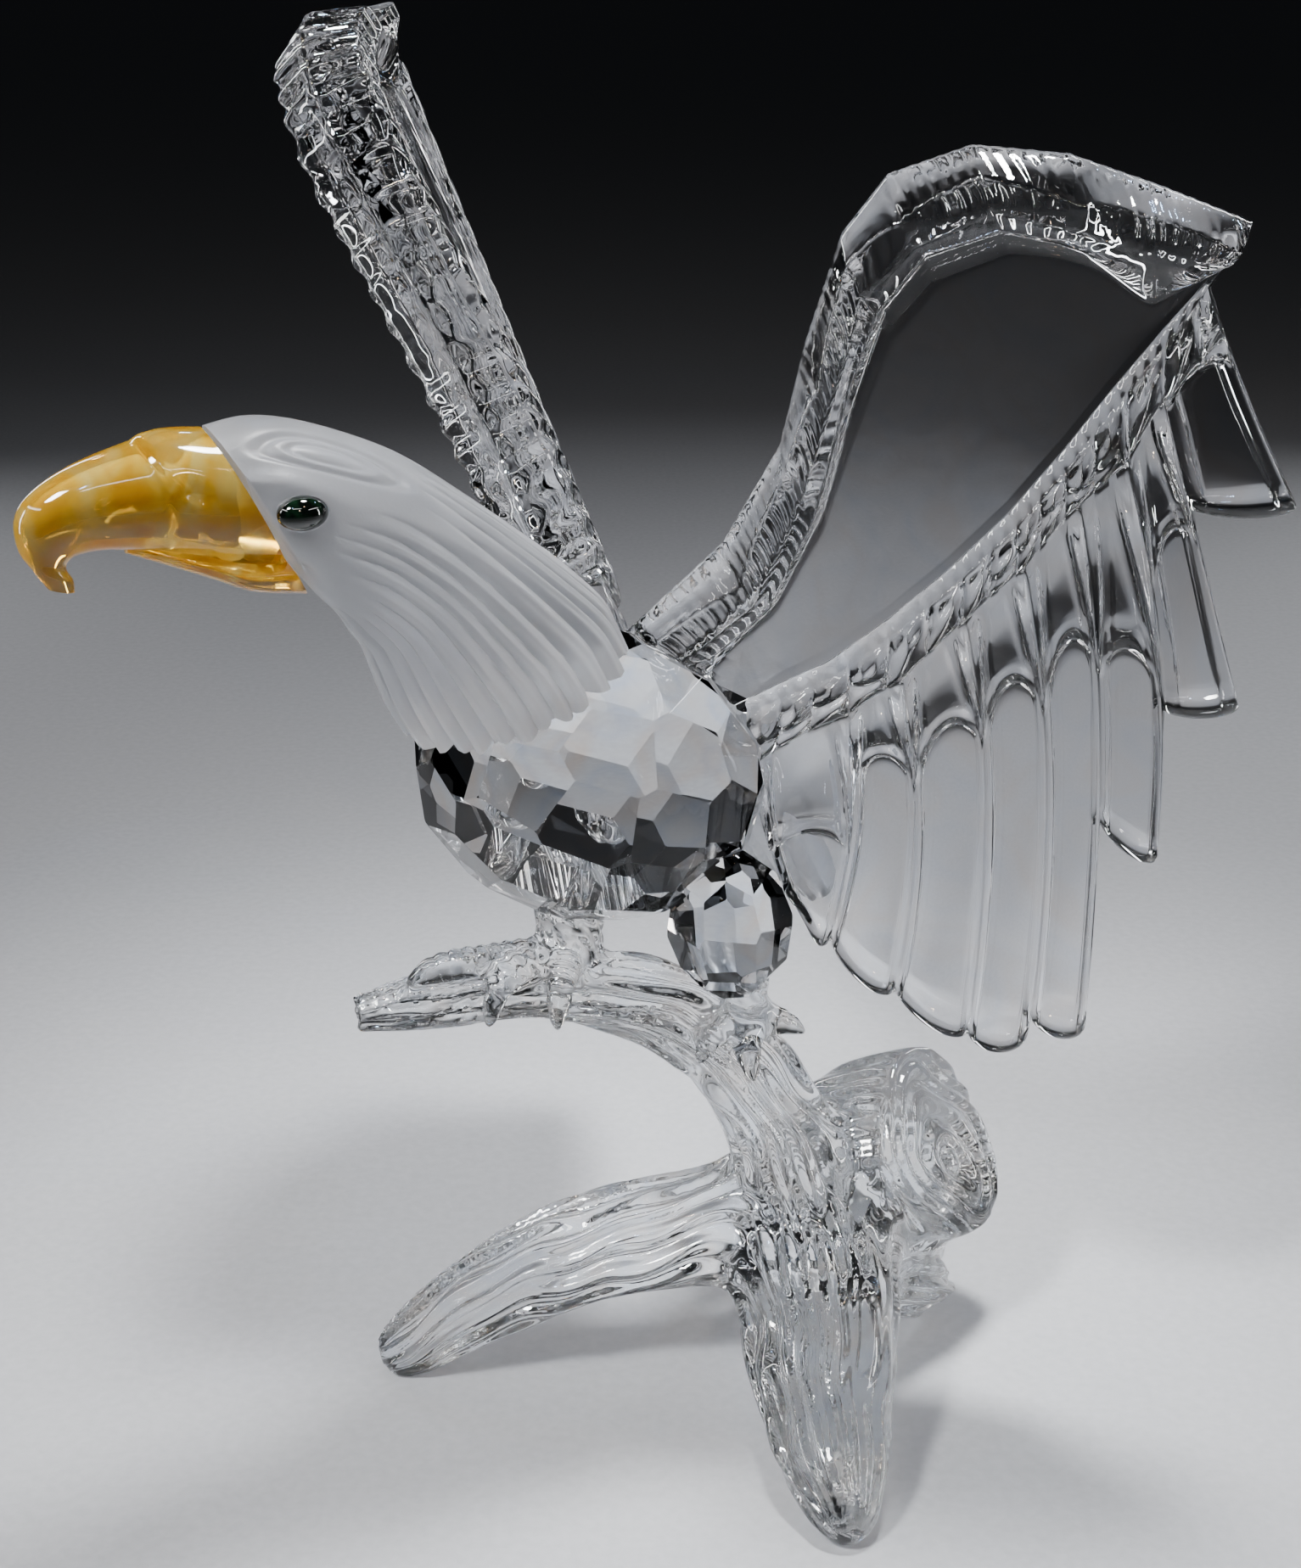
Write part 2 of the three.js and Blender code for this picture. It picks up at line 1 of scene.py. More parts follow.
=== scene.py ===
# %% [markdown]
# # A crystal eagle landing on a branch
# The figurine is about 135 mm tall. Its body is a cut and polished stone, its wings and branch are
# pressed in moulds, its head is acid-frosted, its beak is amber glass and its eyes are black beads.
# The frame below brings in the solids. They fix every place and size, so all new pieces are worked
# out in the same millimetres and only turned into metres when they become meshes.

# %% The frame
import math

import bpy
import numpy as np
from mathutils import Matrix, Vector


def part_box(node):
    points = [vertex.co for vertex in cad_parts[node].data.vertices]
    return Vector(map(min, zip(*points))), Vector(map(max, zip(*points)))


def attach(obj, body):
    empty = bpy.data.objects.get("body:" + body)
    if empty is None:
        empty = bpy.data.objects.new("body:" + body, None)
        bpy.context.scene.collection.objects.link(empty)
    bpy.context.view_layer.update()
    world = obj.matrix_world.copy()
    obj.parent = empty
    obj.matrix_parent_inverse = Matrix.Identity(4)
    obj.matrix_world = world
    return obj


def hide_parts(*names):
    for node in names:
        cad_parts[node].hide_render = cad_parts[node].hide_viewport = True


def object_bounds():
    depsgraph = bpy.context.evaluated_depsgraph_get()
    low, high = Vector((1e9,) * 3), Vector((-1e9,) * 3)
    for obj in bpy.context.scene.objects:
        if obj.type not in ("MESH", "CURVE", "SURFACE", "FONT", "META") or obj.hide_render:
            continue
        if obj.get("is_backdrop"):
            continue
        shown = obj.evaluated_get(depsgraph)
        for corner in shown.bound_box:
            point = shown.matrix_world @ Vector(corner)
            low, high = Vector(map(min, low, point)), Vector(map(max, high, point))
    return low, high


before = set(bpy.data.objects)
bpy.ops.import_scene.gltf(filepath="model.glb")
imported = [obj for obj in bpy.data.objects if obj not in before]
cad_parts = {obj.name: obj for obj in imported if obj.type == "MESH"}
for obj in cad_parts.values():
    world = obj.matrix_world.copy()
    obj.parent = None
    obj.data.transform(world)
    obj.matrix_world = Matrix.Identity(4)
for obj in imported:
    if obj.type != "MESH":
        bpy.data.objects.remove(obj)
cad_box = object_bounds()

MM = 0.001
print("nodes:", ", ".join(sorted(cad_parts)))

# %% [markdown]
# ## The camera
# The picture was taken from a little above the bird's head, looking down by 22 degrees. The lens
# value goes with a 36 mm long side, which is the upright one in this picture.

# %% Camera
CAMERA_PLACE = (-1.9, -206.25, 144.0)
CAMERA_DOWN = 22.0
CAMERA_LENS = 49.87

camera_data = bpy.data.cameras.new("camera")
camera_data.sensor_fit = "VERTICAL"
camera_data.sensor_height = 36.0
camera_data.lens = CAMERA_LENS
camera_data.clip_start = 0.005
camera_data.clip_end = 30.0
camera = bpy.data.objects.new("camera", camera_data)
camera.location = Vector(CAMERA_PLACE) * MM
camera.rotation_euler = (math.radians(90.0 - CAMERA_DOWN), 0.0, 0.0)
bpy.context.scene.collection.objects.link(camera)
bpy.context.scene.camera = camera
print("camera at", [round(v, 4) for v in camera.location])

# %% [markdown]
# ## Colours and nodes
# Colours are written as sRGB hex, as a colour picker shows them, and one function turns them into
# the linear values that shaders work with. A second function adds any shader node at all: it sets
# the node's own settings, fills each input and places the stops of a colour ramp.

# %% Helpers for materials
def colour(hex_value):
    """sRGB hex to linear RGBA: below 0.04045 a straight line, above it a power of 2.4."""
    srgb = np.array([(hex_value >> shift) & 255 for shift in (16, 8, 0)]) / 255.0
    linear = np.where(srgb <= 0.04045, srgb / 12.92, ((srgb + 0.055) / 1.055) ** 2.4)
    return (*(float(v) for v in linear), 1.0)


def add_node(tree, kind, inputs=None, stops=(), **settings):
    """One node of that kind with its settings. Each input gets a value, another node's output, or
    a node, whose first output is meant. stops are a ramp's pairs of position and sRGB hex."""
    new = tree.nodes.new(kind)
    for name, value in settings.items():
        setattr(new, name, value)
    for name, value in (inputs or {}).items():
        if isinstance(value, bpy.types.Node):
            value = value.outputs[0]
        if isinstance(value, bpy.types.NodeSocket):
            tree.links.new(value, new.inputs[name])
        else:
            new.inputs[name].default_value = value
    if stops:
        elements = new.color_ramp.elements
        while len(elements) < len(stops):
            elements.new(0.5)
        for element, (position, hex_value) in zip(elements, stops):
            element.position = position
            element.color = colour(hex_value)
    return new


def new_material(name):
    """An empty material with its node tree, output and Object coordinates."""
    material = bpy.data.materials.new(name)
    material.use_nodes = True
    tree = material.node_tree
    tree.nodes.clear()
    place = add_node(tree, "ShaderNodeTexCoord").outputs["Object"]
    return material, tree, place


def finish_material(tree, inputs):
    """The last shader, with those inputs, joined to the material's output."""
    shader = add_node(tree, "ShaderNodeBsdfPrincipled", inputs)
    add_node(tree, "ShaderNodeOutputMaterial", {"Surface": shader})


def per_mm(size):
    """Texture scale for a pattern of that size in millimetres, on coordinates in metres."""
    return 1.0 / (size * MM)


print("white in linear:", colour(0xFFFFFF))

# %% [markdown]
# ## Crystal
# Lead crystal is nearly colourless and bends light strongly, with an index of about 1.56. The cut
# stones have flat polished faces with only the faintest haze. The wings and the branch are pressed,
# so their skin is glossy but never quite flat: a soft waviness of a few millimetres makes the
# highlights run. Cut edges split white light into colours; those glints are painted into the base
# colour as faint bands of cold and warm, a few millimetres wide, all over each piece.

# %% Crystal materials
CRYSTAL_IOR = 1.56
WAVE_HEIGHT = 0.03


def crystal(name, tint, haze, painted_glint_strength, wave_size=0.0):
    """Clear crystal. haze is the largest roughness, painted_glint_strength is how strongly painted
    glints, bands of split light a few millimetres wide, tint its base colour, and wave_size is the
    length in millimetres of a pressed skin's waves."""
    material, tree, place = new_material(name)
    cloud = add_node(tree, "ShaderNodeTexNoise", {"Vector": place, "Scale": per_mm(14.0), "Detail": 3.0})
    roughness = add_node(tree, "ShaderNodeMapRange", {
        "Value": cloud, "From Min": 0.35, "From Max": 0.7, "To Min": 0.0, "To Max": haze})
    # Painted glints: noise bands tint the base colour pale blue and pale orange, in place of the split light
    # of cut edges.
    glint_bands = add_node(tree, "ShaderNodeTexNoise", {"Vector": place, "Scale": per_mm(6.0), "Detail": 0.0})
    painted_glint_colours = add_node(tree, "ShaderNodeValToRGB", {"Fac": glint_bands}, [
        (0.30, tint), (0.40, 0xC4DCFF), (0.48, tint), (0.56, tint), (0.64, 0xFFDDB8), (0.74, tint)])
    base = add_node(tree, "ShaderNodeMix", {"Factor": painted_glint_strength, "A": colour(tint), "B": painted_glint_colours},
                    data_type="RGBA")
    inputs = {"Base Color": base.outputs["Result"], "Roughness": roughness, "IOR": CRYSTAL_IOR,
              "Transmission Weight": 1.0}
    if wave_size:
        wave = add_node(tree, "ShaderNodeTexNoise",
                        {"Vector": place, "Scale": per_mm(wave_size), "Detail": 2.0})
        inputs["Normal"] = add_node(tree, "ShaderNodeBump", {
            "Height": wave, "Distance": WAVE_HEIGHT * MM, "Strength": 1.0})
    finish_material(tree, inputs)
    return material


cut_crystal = crystal("cut_and_polished_crystal", 0xFBFDFF, 0.01, 0.45)
wing_crystal = crystal("pressed_crystal_wing", 0xFCFDFF, 0.02, 0.15, wave_size=6.0)
branch_crystal = crystal("pressed_crystal_bark", 0xFBFDFE, 0.02, 0.25, wave_size=4.0)
print("crystal:", cut_crystal.name, wing_crystal.name, branch_crystal.name)

# %% [markdown]
# ## Frosted, amber and black glass
# Acid frosting leaves millions of tiny pits, so light goes in and comes out scattered: the head
# glows white and its highlights are broad. The beak is amber glass with a polished skin, and the
# eyes are black beads, so dark that only their highlight and a faint painted green glint show.

# %% Frosted, amber and black materials
def frosted_crystal():
    """Acid-frosted crystal: rough transmission mixed with a white scattered part, and grain."""
    material, tree, place = new_material("acid_frosted_crystal")
    grain = add_node(tree, "ShaderNodeTexNoise", {"Vector": place, "Scale": per_mm(0.35), "Detail": 4.0})
    cloud = add_node(tree, "ShaderNodeTexNoise", {"Vector": place, "Scale": per_mm(9.0), "Detail": 3.0})
    finish_material(tree, {
        "Base Color": add_node(tree, "ShaderNodeValToRGB", {"Fac": cloud},
                               [(0.3, 0xCDD0D6), (0.7, 0xE0E2E6)]),
        "Roughness": add_node(tree, "ShaderNodeMapRange", {
            "Value": cloud, "From Min": 0.3, "From Max": 0.7, "To Min": 0.36, "To Max": 0.48}),
        "IOR": 1.5,
        "Transmission Weight": 0.88,
        "Normal": add_node(tree, "ShaderNodeBump", {
            "Height": grain, "Distance": 0.02 * MM, "Strength": 0.6}),
    })
    return material


def amber_glass():
    """Amber glass with faint swirls of deeper colour."""
    material, tree, place = new_material("amber_glass")
    swirl = add_node(tree, "ShaderNodeTexNoise",
                     {"Vector": place, "Scale": per_mm(5.0), "Detail": 2.0, "Distortion": 1.5})
    finish_material(tree, {
        "Base Color": add_node(tree, "ShaderNodeValToRGB", {"Fac": swirl},
                               [(0.35, 0xF2B022), (0.5, 0xFFCB38), (0.65, 0xFFE27A)]),
        "Roughness": add_node(tree, "ShaderNodeMapRange", {"Value": swirl, "To Min": 0.02, "To Max": 0.12}),
        "IOR": 1.52,
        "Transmission Weight": 0.86,
    })
    return material


def black_bead():
    """Black glass bead: near black, with noise patches of very dark green painted in as a green glint."""
    material, tree, place = new_material("black_glass_bead")
    cloud = add_node(tree, "ShaderNodeTexNoise", {"Vector": place, "Scale": per_mm(1.5), "Detail": 2.0})
    finish_material(tree, {
        # Painted green glint: noise patches of very dark green on the near-black base colour.
        "Base Color": add_node(tree, "ShaderNodeValToRGB", {"Fac": cloud},
                               [(0.45, 0x030504), (0.8, 0x0C2616)]),
        "Roughness": 0.03,
        "IOR": 1.6,
        "Coat Weight": 0.6,
        "Coat Roughness": 0.02,
    })
    return material


frosted = frosted_crystal()
amber = amber_glass()
bead = black_bead()
print("other glass:", frosted.name, amber.name, bead.name)

# %% [markdown]
# ## Floor and light
# Clear glass shows only what it bends and mirrors, so it needs both light and darkness round it. Two
# gridded panels overhead lay a pool of light on the plain pale floor, which falls off to a dark room.
# Narrow strips at the sides and back and two level bars draw long clean highlights on the edges. Six
# small panels, faintly blue and orange, stand for the sparkle of split light.

# %% Floor
FLOOR_HALF = 6.0

floor_data = bpy.data.meshes.new("floor")
floor_data.from_pydata([(x * FLOOR_HALF, y * FLOOR_HALF, 0) for x, y in ((-1, -1), (1, -1), (1, 1), (-1, 1))],
                       [], [(0, 1, 2, 3)])
floor = bpy.data.objects.new("floor", floor_data)
bpy.context.scene.collection.objects.link(floor)
paper, paper_tree, paper_place = new_material("pale_paper")
fibre = add_node(paper_tree, "ShaderNodeTexNoise",
                 {"Vector": paper_place, "Scale": per_mm(1.2), "Detail": 3.0})
paper_shade = add_node(paper_tree, "ShaderNodeValToRGB", {"Fac": fibre}, [(0.3, 0xA4A6AA), (0.7, 0xACAEB2)])
finish_material(paper_tree, {"Base Color": paper_shade, "Roughness": 0.9})
floor_data.materials.append(paper)
floor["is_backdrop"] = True
print("floor:", 2 * FLOOR_HALF, "m wide")

# %% Lights
FIGURE = (0, 0, 60)
# Name, place, width and height in millimetres, power in watts, spread in degrees and aim.
PANELS = [
    ("key", (-230, -230, 430), 80, 80, 0.18, 40, (0, 0, 50)),
    ("top", (40, 50, 500), 80, 70, 0.18, 32, (5, -5, 0)),
    ("left_strip", (-340, -60, 130), 18, 220, 0.26, 140, FIGURE),
    ("right_strip", (350, -90, 135), 18, 220, 0.24, 140, FIGURE),
    ("back_strip", (230, 330, 230), 20, 320, 0.30, 140, FIGURE),
    ("back_strip_left", (-260, 320, 200), 20, 300, 0.26, 140, FIGURE),
    ("brow_strip", (0, -330, 420), 220, 14, 0.10, 140, FIGURE),
    ("left_bar", (-290, -150, 300), 260, 16, 0.14, 140, FIGURE),
    ("right_bar", (300, -150, 310), 260, 16, 0.12, 140, FIGURE),
]
# Each sparkle has its own place and tint, and all share the rest.
SPARKLES = [((-130, -300, 480), 0xA8CCFF), ((170, -260, 520), 0xFFD2A4), ((-210, 190, 400), 0xFFCC98),
            ((230, 130, 440), 0xA0C8FF), ((-60, 300, 420), 0xB4D4FF), ((60, -330, 300), 0xFFD8B0)]
SPARKLE = (14, 14, 0.045, 120, FIGURE)


def panel(name, place, width, height, power, spread, aim, tint=0xFFFFFF):
    """A soft light panel turned to face the aim, with a grid that keeps its light within the spread."""
    data = bpy.data.lights.new(name, "AREA")
    data.color = colour(tint)[:3]
    data.shape = "RECTANGLE"
    data.spread = math.radians(spread)
    data.size = width * MM
    data.size_y = height * MM
    data.energy = power
    light = bpy.data.objects.new(name, data)
    light.location = Vector(place) * MM
    light.rotation_euler = (Vector(aim) - Vector(place)).to_track_quat("-Z", "Y").to_euler()
    bpy.context.scene.collection.objects.link(light)


for row in PANELS:
    panel(*row)
for number, (spot, tint) in enumerate(SPARKLES):
    panel(f"sparkle_{number + 1}", spot, *SPARKLE, tint)

world = bpy.data.worlds.new("studio")
world.use_nodes = True
background = world.node_tree.nodes["Background"]
background.inputs["Color"].default_value = colour(0x8C9096)
background.inputs["Strength"].default_value = 0.04
bpy.context.scene.world = world

# %% [markdown]
# ## Meshes from arrays
# Every new surface is a grid of points worked out with whole arrays. Two shapes of grid are enough:
# rings that run along a path and are closed at both ends, and a plate between a front sheet and a
# back sheet. Where glass meets glass, the pieces are joined or cut as solids, so that no wall is
# left inside them to show as a ghost.

# %% Mesh helpers
SMOOTH_ANGLE = math.radians(38.0)


def outward(points, faces):
    """The faces turned so that they point out: the signed volume over all faces is positive."""
    volume = 0.0
    for face in faces:
        a, b, c = (points[face[:, k]] for k in (0, 1, 2))
        volume += np.einsum("ij,ij->", a, np.cross(b, c))
        if face.shape[1] == 4:
            volume += np.einsum("ij,ij->", a, np.cross(c, points[face[:, 3]]))
    return faces if volume > 0 else [face[:, ::-1] for face in faces]


def to_mesh(name, points, faces):
    """A mesh from points in millimetres and arrays of faces, in metres and in the frame's place."""
    faces = outward(points, faces)
    mesh = bpy.data.meshes.new(name)
    rows = [row for face in faces for row in face.tolist()]
    mesh.from_pydata(((points + carving_shift) * MM).tolist(), [], rows)
    mesh.validate()
    return mesh


def sheet_faces(index):
    """Quads between the neighbouring rows and columns of a grid of point numbers."""
    return np.stack([index[:-1, :-1], index[:-1, 1:], index[1:, 1:], index[1:, :-1]], -1).reshape(-1, 4)


def ring_faces(rings, around):
    """Faces of a closed skin through rings, and a fan at each end round two last points."""
    index = np.arange(rings * around).reshape(rings, around)
    first, last, pole = index[0], index[-1], np.full(around, index.size)
    fans = np.concatenate([np.stack([pole, np.roll(first, -1), first], -1),
                           np.stack([pole + 1, last, np.roll(last, -1)], -1)])
    return [sheet_faces(np.hstack([index, index[:, :1]])), fans]


def ring_solid(rings):
    """Points and faces of a closed solid through an array of rings, shaped (rings, around, 3)."""
    points = np.concatenate([rings.reshape(-1, 3), rings[:1].mean(1), rings[-1:].mean(1)])
    return points, outward(points, ring_faces(*rings.shape[:2]))


def rings_to_mesh(name, rings):
    """A closed solid through rings as a mesh."""
    return to_mesh(name, *ring_solid(rings))


def ring_grid(rows, around, start=0.0, stop=1.0):
    """Shares from ring to ring and angles round each ring, as two arrays of one shape."""
    return np.meshgrid(np.linspace(start, stop, rows), 2 * np.pi * np.arange(around) / around, indexing="ij")


def plate_to_mesh(name, front, back):
    """A closed solid between two sheets, shaped (rows, columns, 3), with a wall round the border."""
    index = np.arange(front[..., 0].size).reshape(front.shape[:2])
    border = np.concatenate([index[0], index[1:, -1], index[-1, -2::-1], index[-2:0:-1, 0]])
    beyond = np.roll(border, -1)
    wall = np.stack([beyond, border, border + index.size, beyond + index.size], -1)
    points = np.concatenate([front.reshape(-1, 3), back.reshape(-1, 3)])
    return to_mesh(name, points, [sheet_faces(index), sheet_faces(index + index.size)[:, ::-1], wall])


def vertex_array(mesh, normals=False):
    """Vertex places of a mesh, or its vertex normals, as an array."""
    values = np.zeros(len(mesh.vertices) * 3)
    if normals:
        mesh.vertex_normals.foreach_get("vector", values)
    else:
        mesh.vertices.foreach_get("co", values)
    return values.reshape(-1, 3)


def move_vertices(mesh, points):
    """Puts the vertices of a mesh at new places."""
    mesh.vertices.foreach_set("co", points.ravel())
    mesh.update()


def temporary(mesh):
    """An object that carries a mesh while it is worked on."""
    obj = bpy.data.objects.new("temporary", mesh)
    bpy.context.scene.collection.objects.link(obj)
    return obj


def modified(name, mesh, steps):
    """A new mesh: the old one after a row of modifiers, each given as its kind and its settings."""
    obj = temporary(mesh)
    for kind, settings in steps:
        modifier = obj.modifiers.new(kind, kind)
        for key, value in settings.items():
            setattr(modifier, key, value)
    bpy.context.view_layer.update()
    graph = bpy.context.evaluated_depsgraph_get()
    result = bpy.data.meshes.new_from_object(obj.evaluated_get(graph), depsgraph=graph)
    result.name = name
    bpy.data.objects.remove(obj)
    return result


def carved(name, mesh, add=(), cut=()):
    """The solid joined with the solids in add, then cut by those in cut."""
    tools = [(operation, temporary(tool)) for operation, group in (("UNION", add), ("DIFFERENCE", cut))
             for tool in group]
    result = modified(name, mesh, [("BOOLEAN", dict(operation=operation, solver="MANIFOLD", object=tool))
                                   for operation, tool in tools])
    for _, tool in tools:
        bpy.data.objects.remove(tool)
    return result


def show(name, mesh, material, slot, *nodes, sharp=SMOOTH_ANGLE):
    """The finished piece: smooth but for its sharp edges, riding on the root in place of its nodes."""
    mesh.polygons.foreach_set("use_smooth", np.ones(len(mesh.polygons), bool))
    mesh.set_sharp_from_angle(angle=sharp)
    mesh.materials.clear()
    mesh.materials.append(material)
    obj = bpy.data.objects.new(name, mesh)
    bpy.context.scene.collection.objects.link(obj)
    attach(obj, "root")
    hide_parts(*nodes)
    triangles = int(sum(len(p.vertices) - 2 for p in mesh.polygons))
    print(f"{name}: {triangles} triangles")


print("mesh helpers ready")

# %% [markdown]
# ## Where the drawing lies
# The bird is drawn on a grid whose corner isn't the frame's origin. The left eye is a bead whose
# centre is known on the drawing and measured in the frame, so the difference is the shift of all.

# %% Head plane and shift
HEAD_ORIGIN = np.array([-33.8, -14.0, 96.7])
HEAD_FORWARD = np.array([-0.908, -0.419, 0.0]) / math.hypot(0.908, 0.419)
UPWARD = np.array([0.0, 0.0, 1.0])
HEAD_SIDE = np.cross(UPWARD, HEAD_FORWARD)
EYE_PLACE = (-2.2, 0.6)
EYE_SIDE = 7.0
EYE_LENGTH = 4.4
EYE_HEIGHT = 3.0
JOINT_GAP = 0.3


def on_head(x, y, side):
    """A point of the head: x forward along the beak, y up and side out of the plane, as arrays."""
    x, y, side = (np.asarray(v, float)[..., None] for v in (x, y, side))
    return HEAD_ORIGIN + x * HEAD_FORWARD + y * UPWARD + side * HEAD_SIDE


def node_centre(name):
    """The middle of a node's box, in millimetres."""
    low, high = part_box(name)
    return (np.array(low) + np.array(high)) / 2 / MM


carving_shift = node_centre("eye_left") - on_head(*EYE_PLACE, EYE_SIDE)
print("the drawing is shifted by", np.round(carving_shift, 3), "mm")

# %% [markdown]
# ## Smooth curves through few points
# All outlines are drawn with a handful of points. A Catmull-Rom curve passes through each of them
# and its direction there follows its two neighbours.

# %% Curves
def spline(points, t, centripetal=False):
    """Catmull-Rom curve through the rows of points, at shares t from 0 to 1. Each piece is a cubic
    whose end slopes come from the neighbours. The centripetal kind spaces its knots by the root of
    the distance and runs straight out at its ends, which suits limbs."""
    points = np.asarray(points, float)
    t = np.asarray(t, float)
    count = len(points)
    place = np.clip(t, 0, 1) * (count - 1)
    start = np.minimum(place.astype(int), count - 2)
    weight = (place - start)[..., None]
    if centripetal:
        first, last = 2 * points[0] - points[1], 2 * points[-1] - points[-2]
    else:
        first, last = points[0], points[-1]
    padded = np.vstack([first, points, last])
    p0, p1, p2, p3 = (padded[start + k] for k in range(4))

    def knot(a, b):
        if not centripetal:
            return 1.0
        return np.sqrt(np.linalg.norm(b - a, axis=-1, keepdims=True))

    d0, d1, d2 = knot(p0, p1), knot(p1, p2), knot(p2, p3)
    slope1 = ((p1 - p0) / d0 - (p2 - p0) / (d0 + d1) + (p2 - p1) / d1) * d1
    slope2 = ((p2 - p1) / d1 - (p3 - p1) / (d1 + d2) + (p3 - p2) / d2) * d1
    cubic = 2 * p1 - 2 * p2 + slope1 + slope2
    square = -3 * p1 + 3 * p2 - 2 * slope1 - slope2
    return ((cubic * weight + square) * weight + slope1) * weight + p1


def smoothstep(value, low, high):
    """0 below low, 1 above high and an S-shaped rise between them."""
    x = np.clip((np.asarray(value, float) - low) / (high - low), 0, 1)
    return x * x * (3 - 2 * x)


def bell(value, middle, width):
    """A bump of height 1 at the middle, that has fallen to 0.37 at one width to each side."""
    return np.exp(-((np.asarray(value, float) - middle) / width) ** 2)


def unit(vectors):
    """Vectors brought to length 1."""
    return vectors / np.linalg.norm(vectors, axis=-1, keepdims=True)


def running_length(points):
    """How far each point of a path lies from its start, along the path."""
    return np.concatenate([[0], np.cumsum(np.linalg.norm(np.diff(points, axis=0), axis=1))])


print("halfway along a square's corner:", spline([[0, 0], [1, 0], [1, 1]], 0.25))

# %% [markdown]
# ## Head and neck
# The head is one frosted casting. It could be sculpted, but the bird's profile and its flutes follow
# plain rules, so it is a skin through oval sections. Each section has a top point, an under point
# and a half width. The neck feathers are flutes that start behind the eye, curve back to the rim
# and end there in scallops. The brow, the cheek and the crown are soft swellings on the skin.

# %% Head sections
NECK = np.array([
    [3.7, 7.0, -3.8, -7.2, 6.6],
    [0.0, 7.5, -5.0, -8.8, 7.3],
    [-4.1, 6.8, -5.9, -9.8, 7.7],
    [-9.3, 4.9, -6.9, -10.9, 8.0],
    [-13.8, 2.6, -7.8, -12.2, 8.3],
    [-19.0, -1.2, -9.1, -13.9, 8.9],
    [-23.2, -4.6, -9.9, -15.8, 9.5],
    [-28.1, -8.8, -10.9, -18.8, 10.3],
    [-31.4, -12.1, -11.9, -21.2, 11.0],
    [-33.2, -15.5, -13.1, -23.2, 11.4],
])
# The solid has 26 shallow flutes, which still set the lobes of the rim. The skin has 30 deep ones.
NECK_FLUTES = 26
NECK_FLUTE_DEPTH = 0.32
CARVED_FLUTES = 30
CARVED_FLUTE_DEPTH = 0.85
RIM_SCALLOP = 1.3
print("neck:", len(NECK), "sections,", CARVED_FLUTES, "flutes")


def head_sections(stations, share, angle, radial=1.0, along=0.0):
    """Rings through the stations. A ring is an oval about the middle of its top and under points;
    radial scales it, along moves a point forward, and angle runs round from the top."""
    top, under = spline(stations[:, 0:2], share), spline(stations[:, 2:4], share)
    width = spline(np.stack([np.arange(len(stations)), stations[:, 4]], -1), share)[..., 1]
    middle, half = (top + under) / 2, (top - under) / 2
    ahead = unit(np.stack([half[..., 1], -half[..., 0]], -1))
    flat = (middle + half * (radial * np.cos(angle))[..., None]
            + ahead * np.asarray(along)[..., None])
    return on_head(flat[..., 0], flat[..., 1], radial * width * np.sin(angle))


def head_rings(rows=160, per_flute=16):
    """The whole skin of head and neck. Its flutes are |cos| crests of the warped angle, which grow
    from behind the eye to the rim. Brow, eye socket, crown and cheek are bells added to the radius."""
    share, angle = ring_grid(rows, CARVED_FLUTES * per_flute)
    start = 0.24 + 0.22 * smoothstep(np.cos(angle), 0.25, 0.85) + 0.06 * np.cos(5 * angle + 1)
    growth = smoothstep(share, start, start + 0.30)
    sweep = 1.6 * np.sin(angle) * smoothstep(share, 0.15, 0.6) * (1 - share)
    warp = angle + 0.05 * np.sin(3 * angle + 0.6) + 0.03 * np.sin(7 * angle + 2) + 0.10 * sweep
    phase = CARVED_FLUTES * warp
    crest = 2 * np.abs(np.cos(phase / 2)) ** 0.55 - 1.5
    depth = CARVED_FLUTE_DEPTH * (0.78 + 0.22 * np.cos(5 * warp + 2.0))
    fine = 0.08 * np.cos(3 * phase + 9 * share)
    flutes = growth * depth / 10 * (crest + fine * growth)
    lobes = np.abs(np.cos(NECK_FLUTES / 4 * warp + 0.4)) ** 0.6 - 0.5 + 0.10 * crest
    scallop = -lobes * smoothstep(share, 0.86, 1) * RIM_SCALLOP * 0.9
    side = np.abs(np.sin(angle))
    down = np.cos(angle)
    brow = 0.070 * bell(down, 0.48 - 0.3 * share, 0.12) * bell(share, 0.10, 0.13) * side
    orbit = -0.045 * bell(down, 0.10, 0.22) * bell(share, 0.13, 0.09)
    oval = np.hypot((share - 0.24) / 0.17, (down - 0.78) / 0.15)
    crown = -0.045 * bell(oval, 0.9, 0.16) - 0.020 * bell(oval, 0.45, 0.12) + 0.015 * bell(oval, 0.0, 0.25)
    cheek = 0.030 * bell(down, -0.35, 0.35) * bell(share, 0.20, 0.12)
    gape = -0.06 * bell(down, -0.62, 0.07) * bell(share, 0.035, 0.03)
    radial = 1 + flutes + brow + orbit + crown + cheek + gape
    return head_sections(NECK, share, angle, radial, scallop)


# %% Seats
MERGE_DISTANCE = 0.002


def grown_copy(node, grow):
    """A copy of a CAD node's mesh, merged, and grown about its middle by so many millimetres."""
    merged = modified(f"{node}_seat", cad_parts[node].data.copy(),
                      [("WELD", dict(merge_threshold=MERGE_DISTANCE * MM))])
    points = vertex_array(merged)
    low, high = points.min(0), points.max(0)
    middle, half = (low + high) / 2, (high - low) / 2
    move_vertices(merged, middle + (points - middle) * (1 + grow * MM / half.mean()))
    return merged


head_mesh = carved("head_and_neck", rings_to_mesh("head_skin", head_rings()),
                   cut=[grown_copy("body", JOINT_GAP), grown_copy("eye_left", JOINT_GAP / 2),
                        grown_copy("eye_right", JOINT_GAP / 2)])
show("head_and_neck_skin", head_mesh, frosted, "frosted_crystal", "head_and_neck")

# %% [markdown]
# ## Eyes
# Each eye is an oval bead set in a socket. A grid over its whole surface is an ellipsoid: cosine and
# sine of the two angles, times the three half sizes.

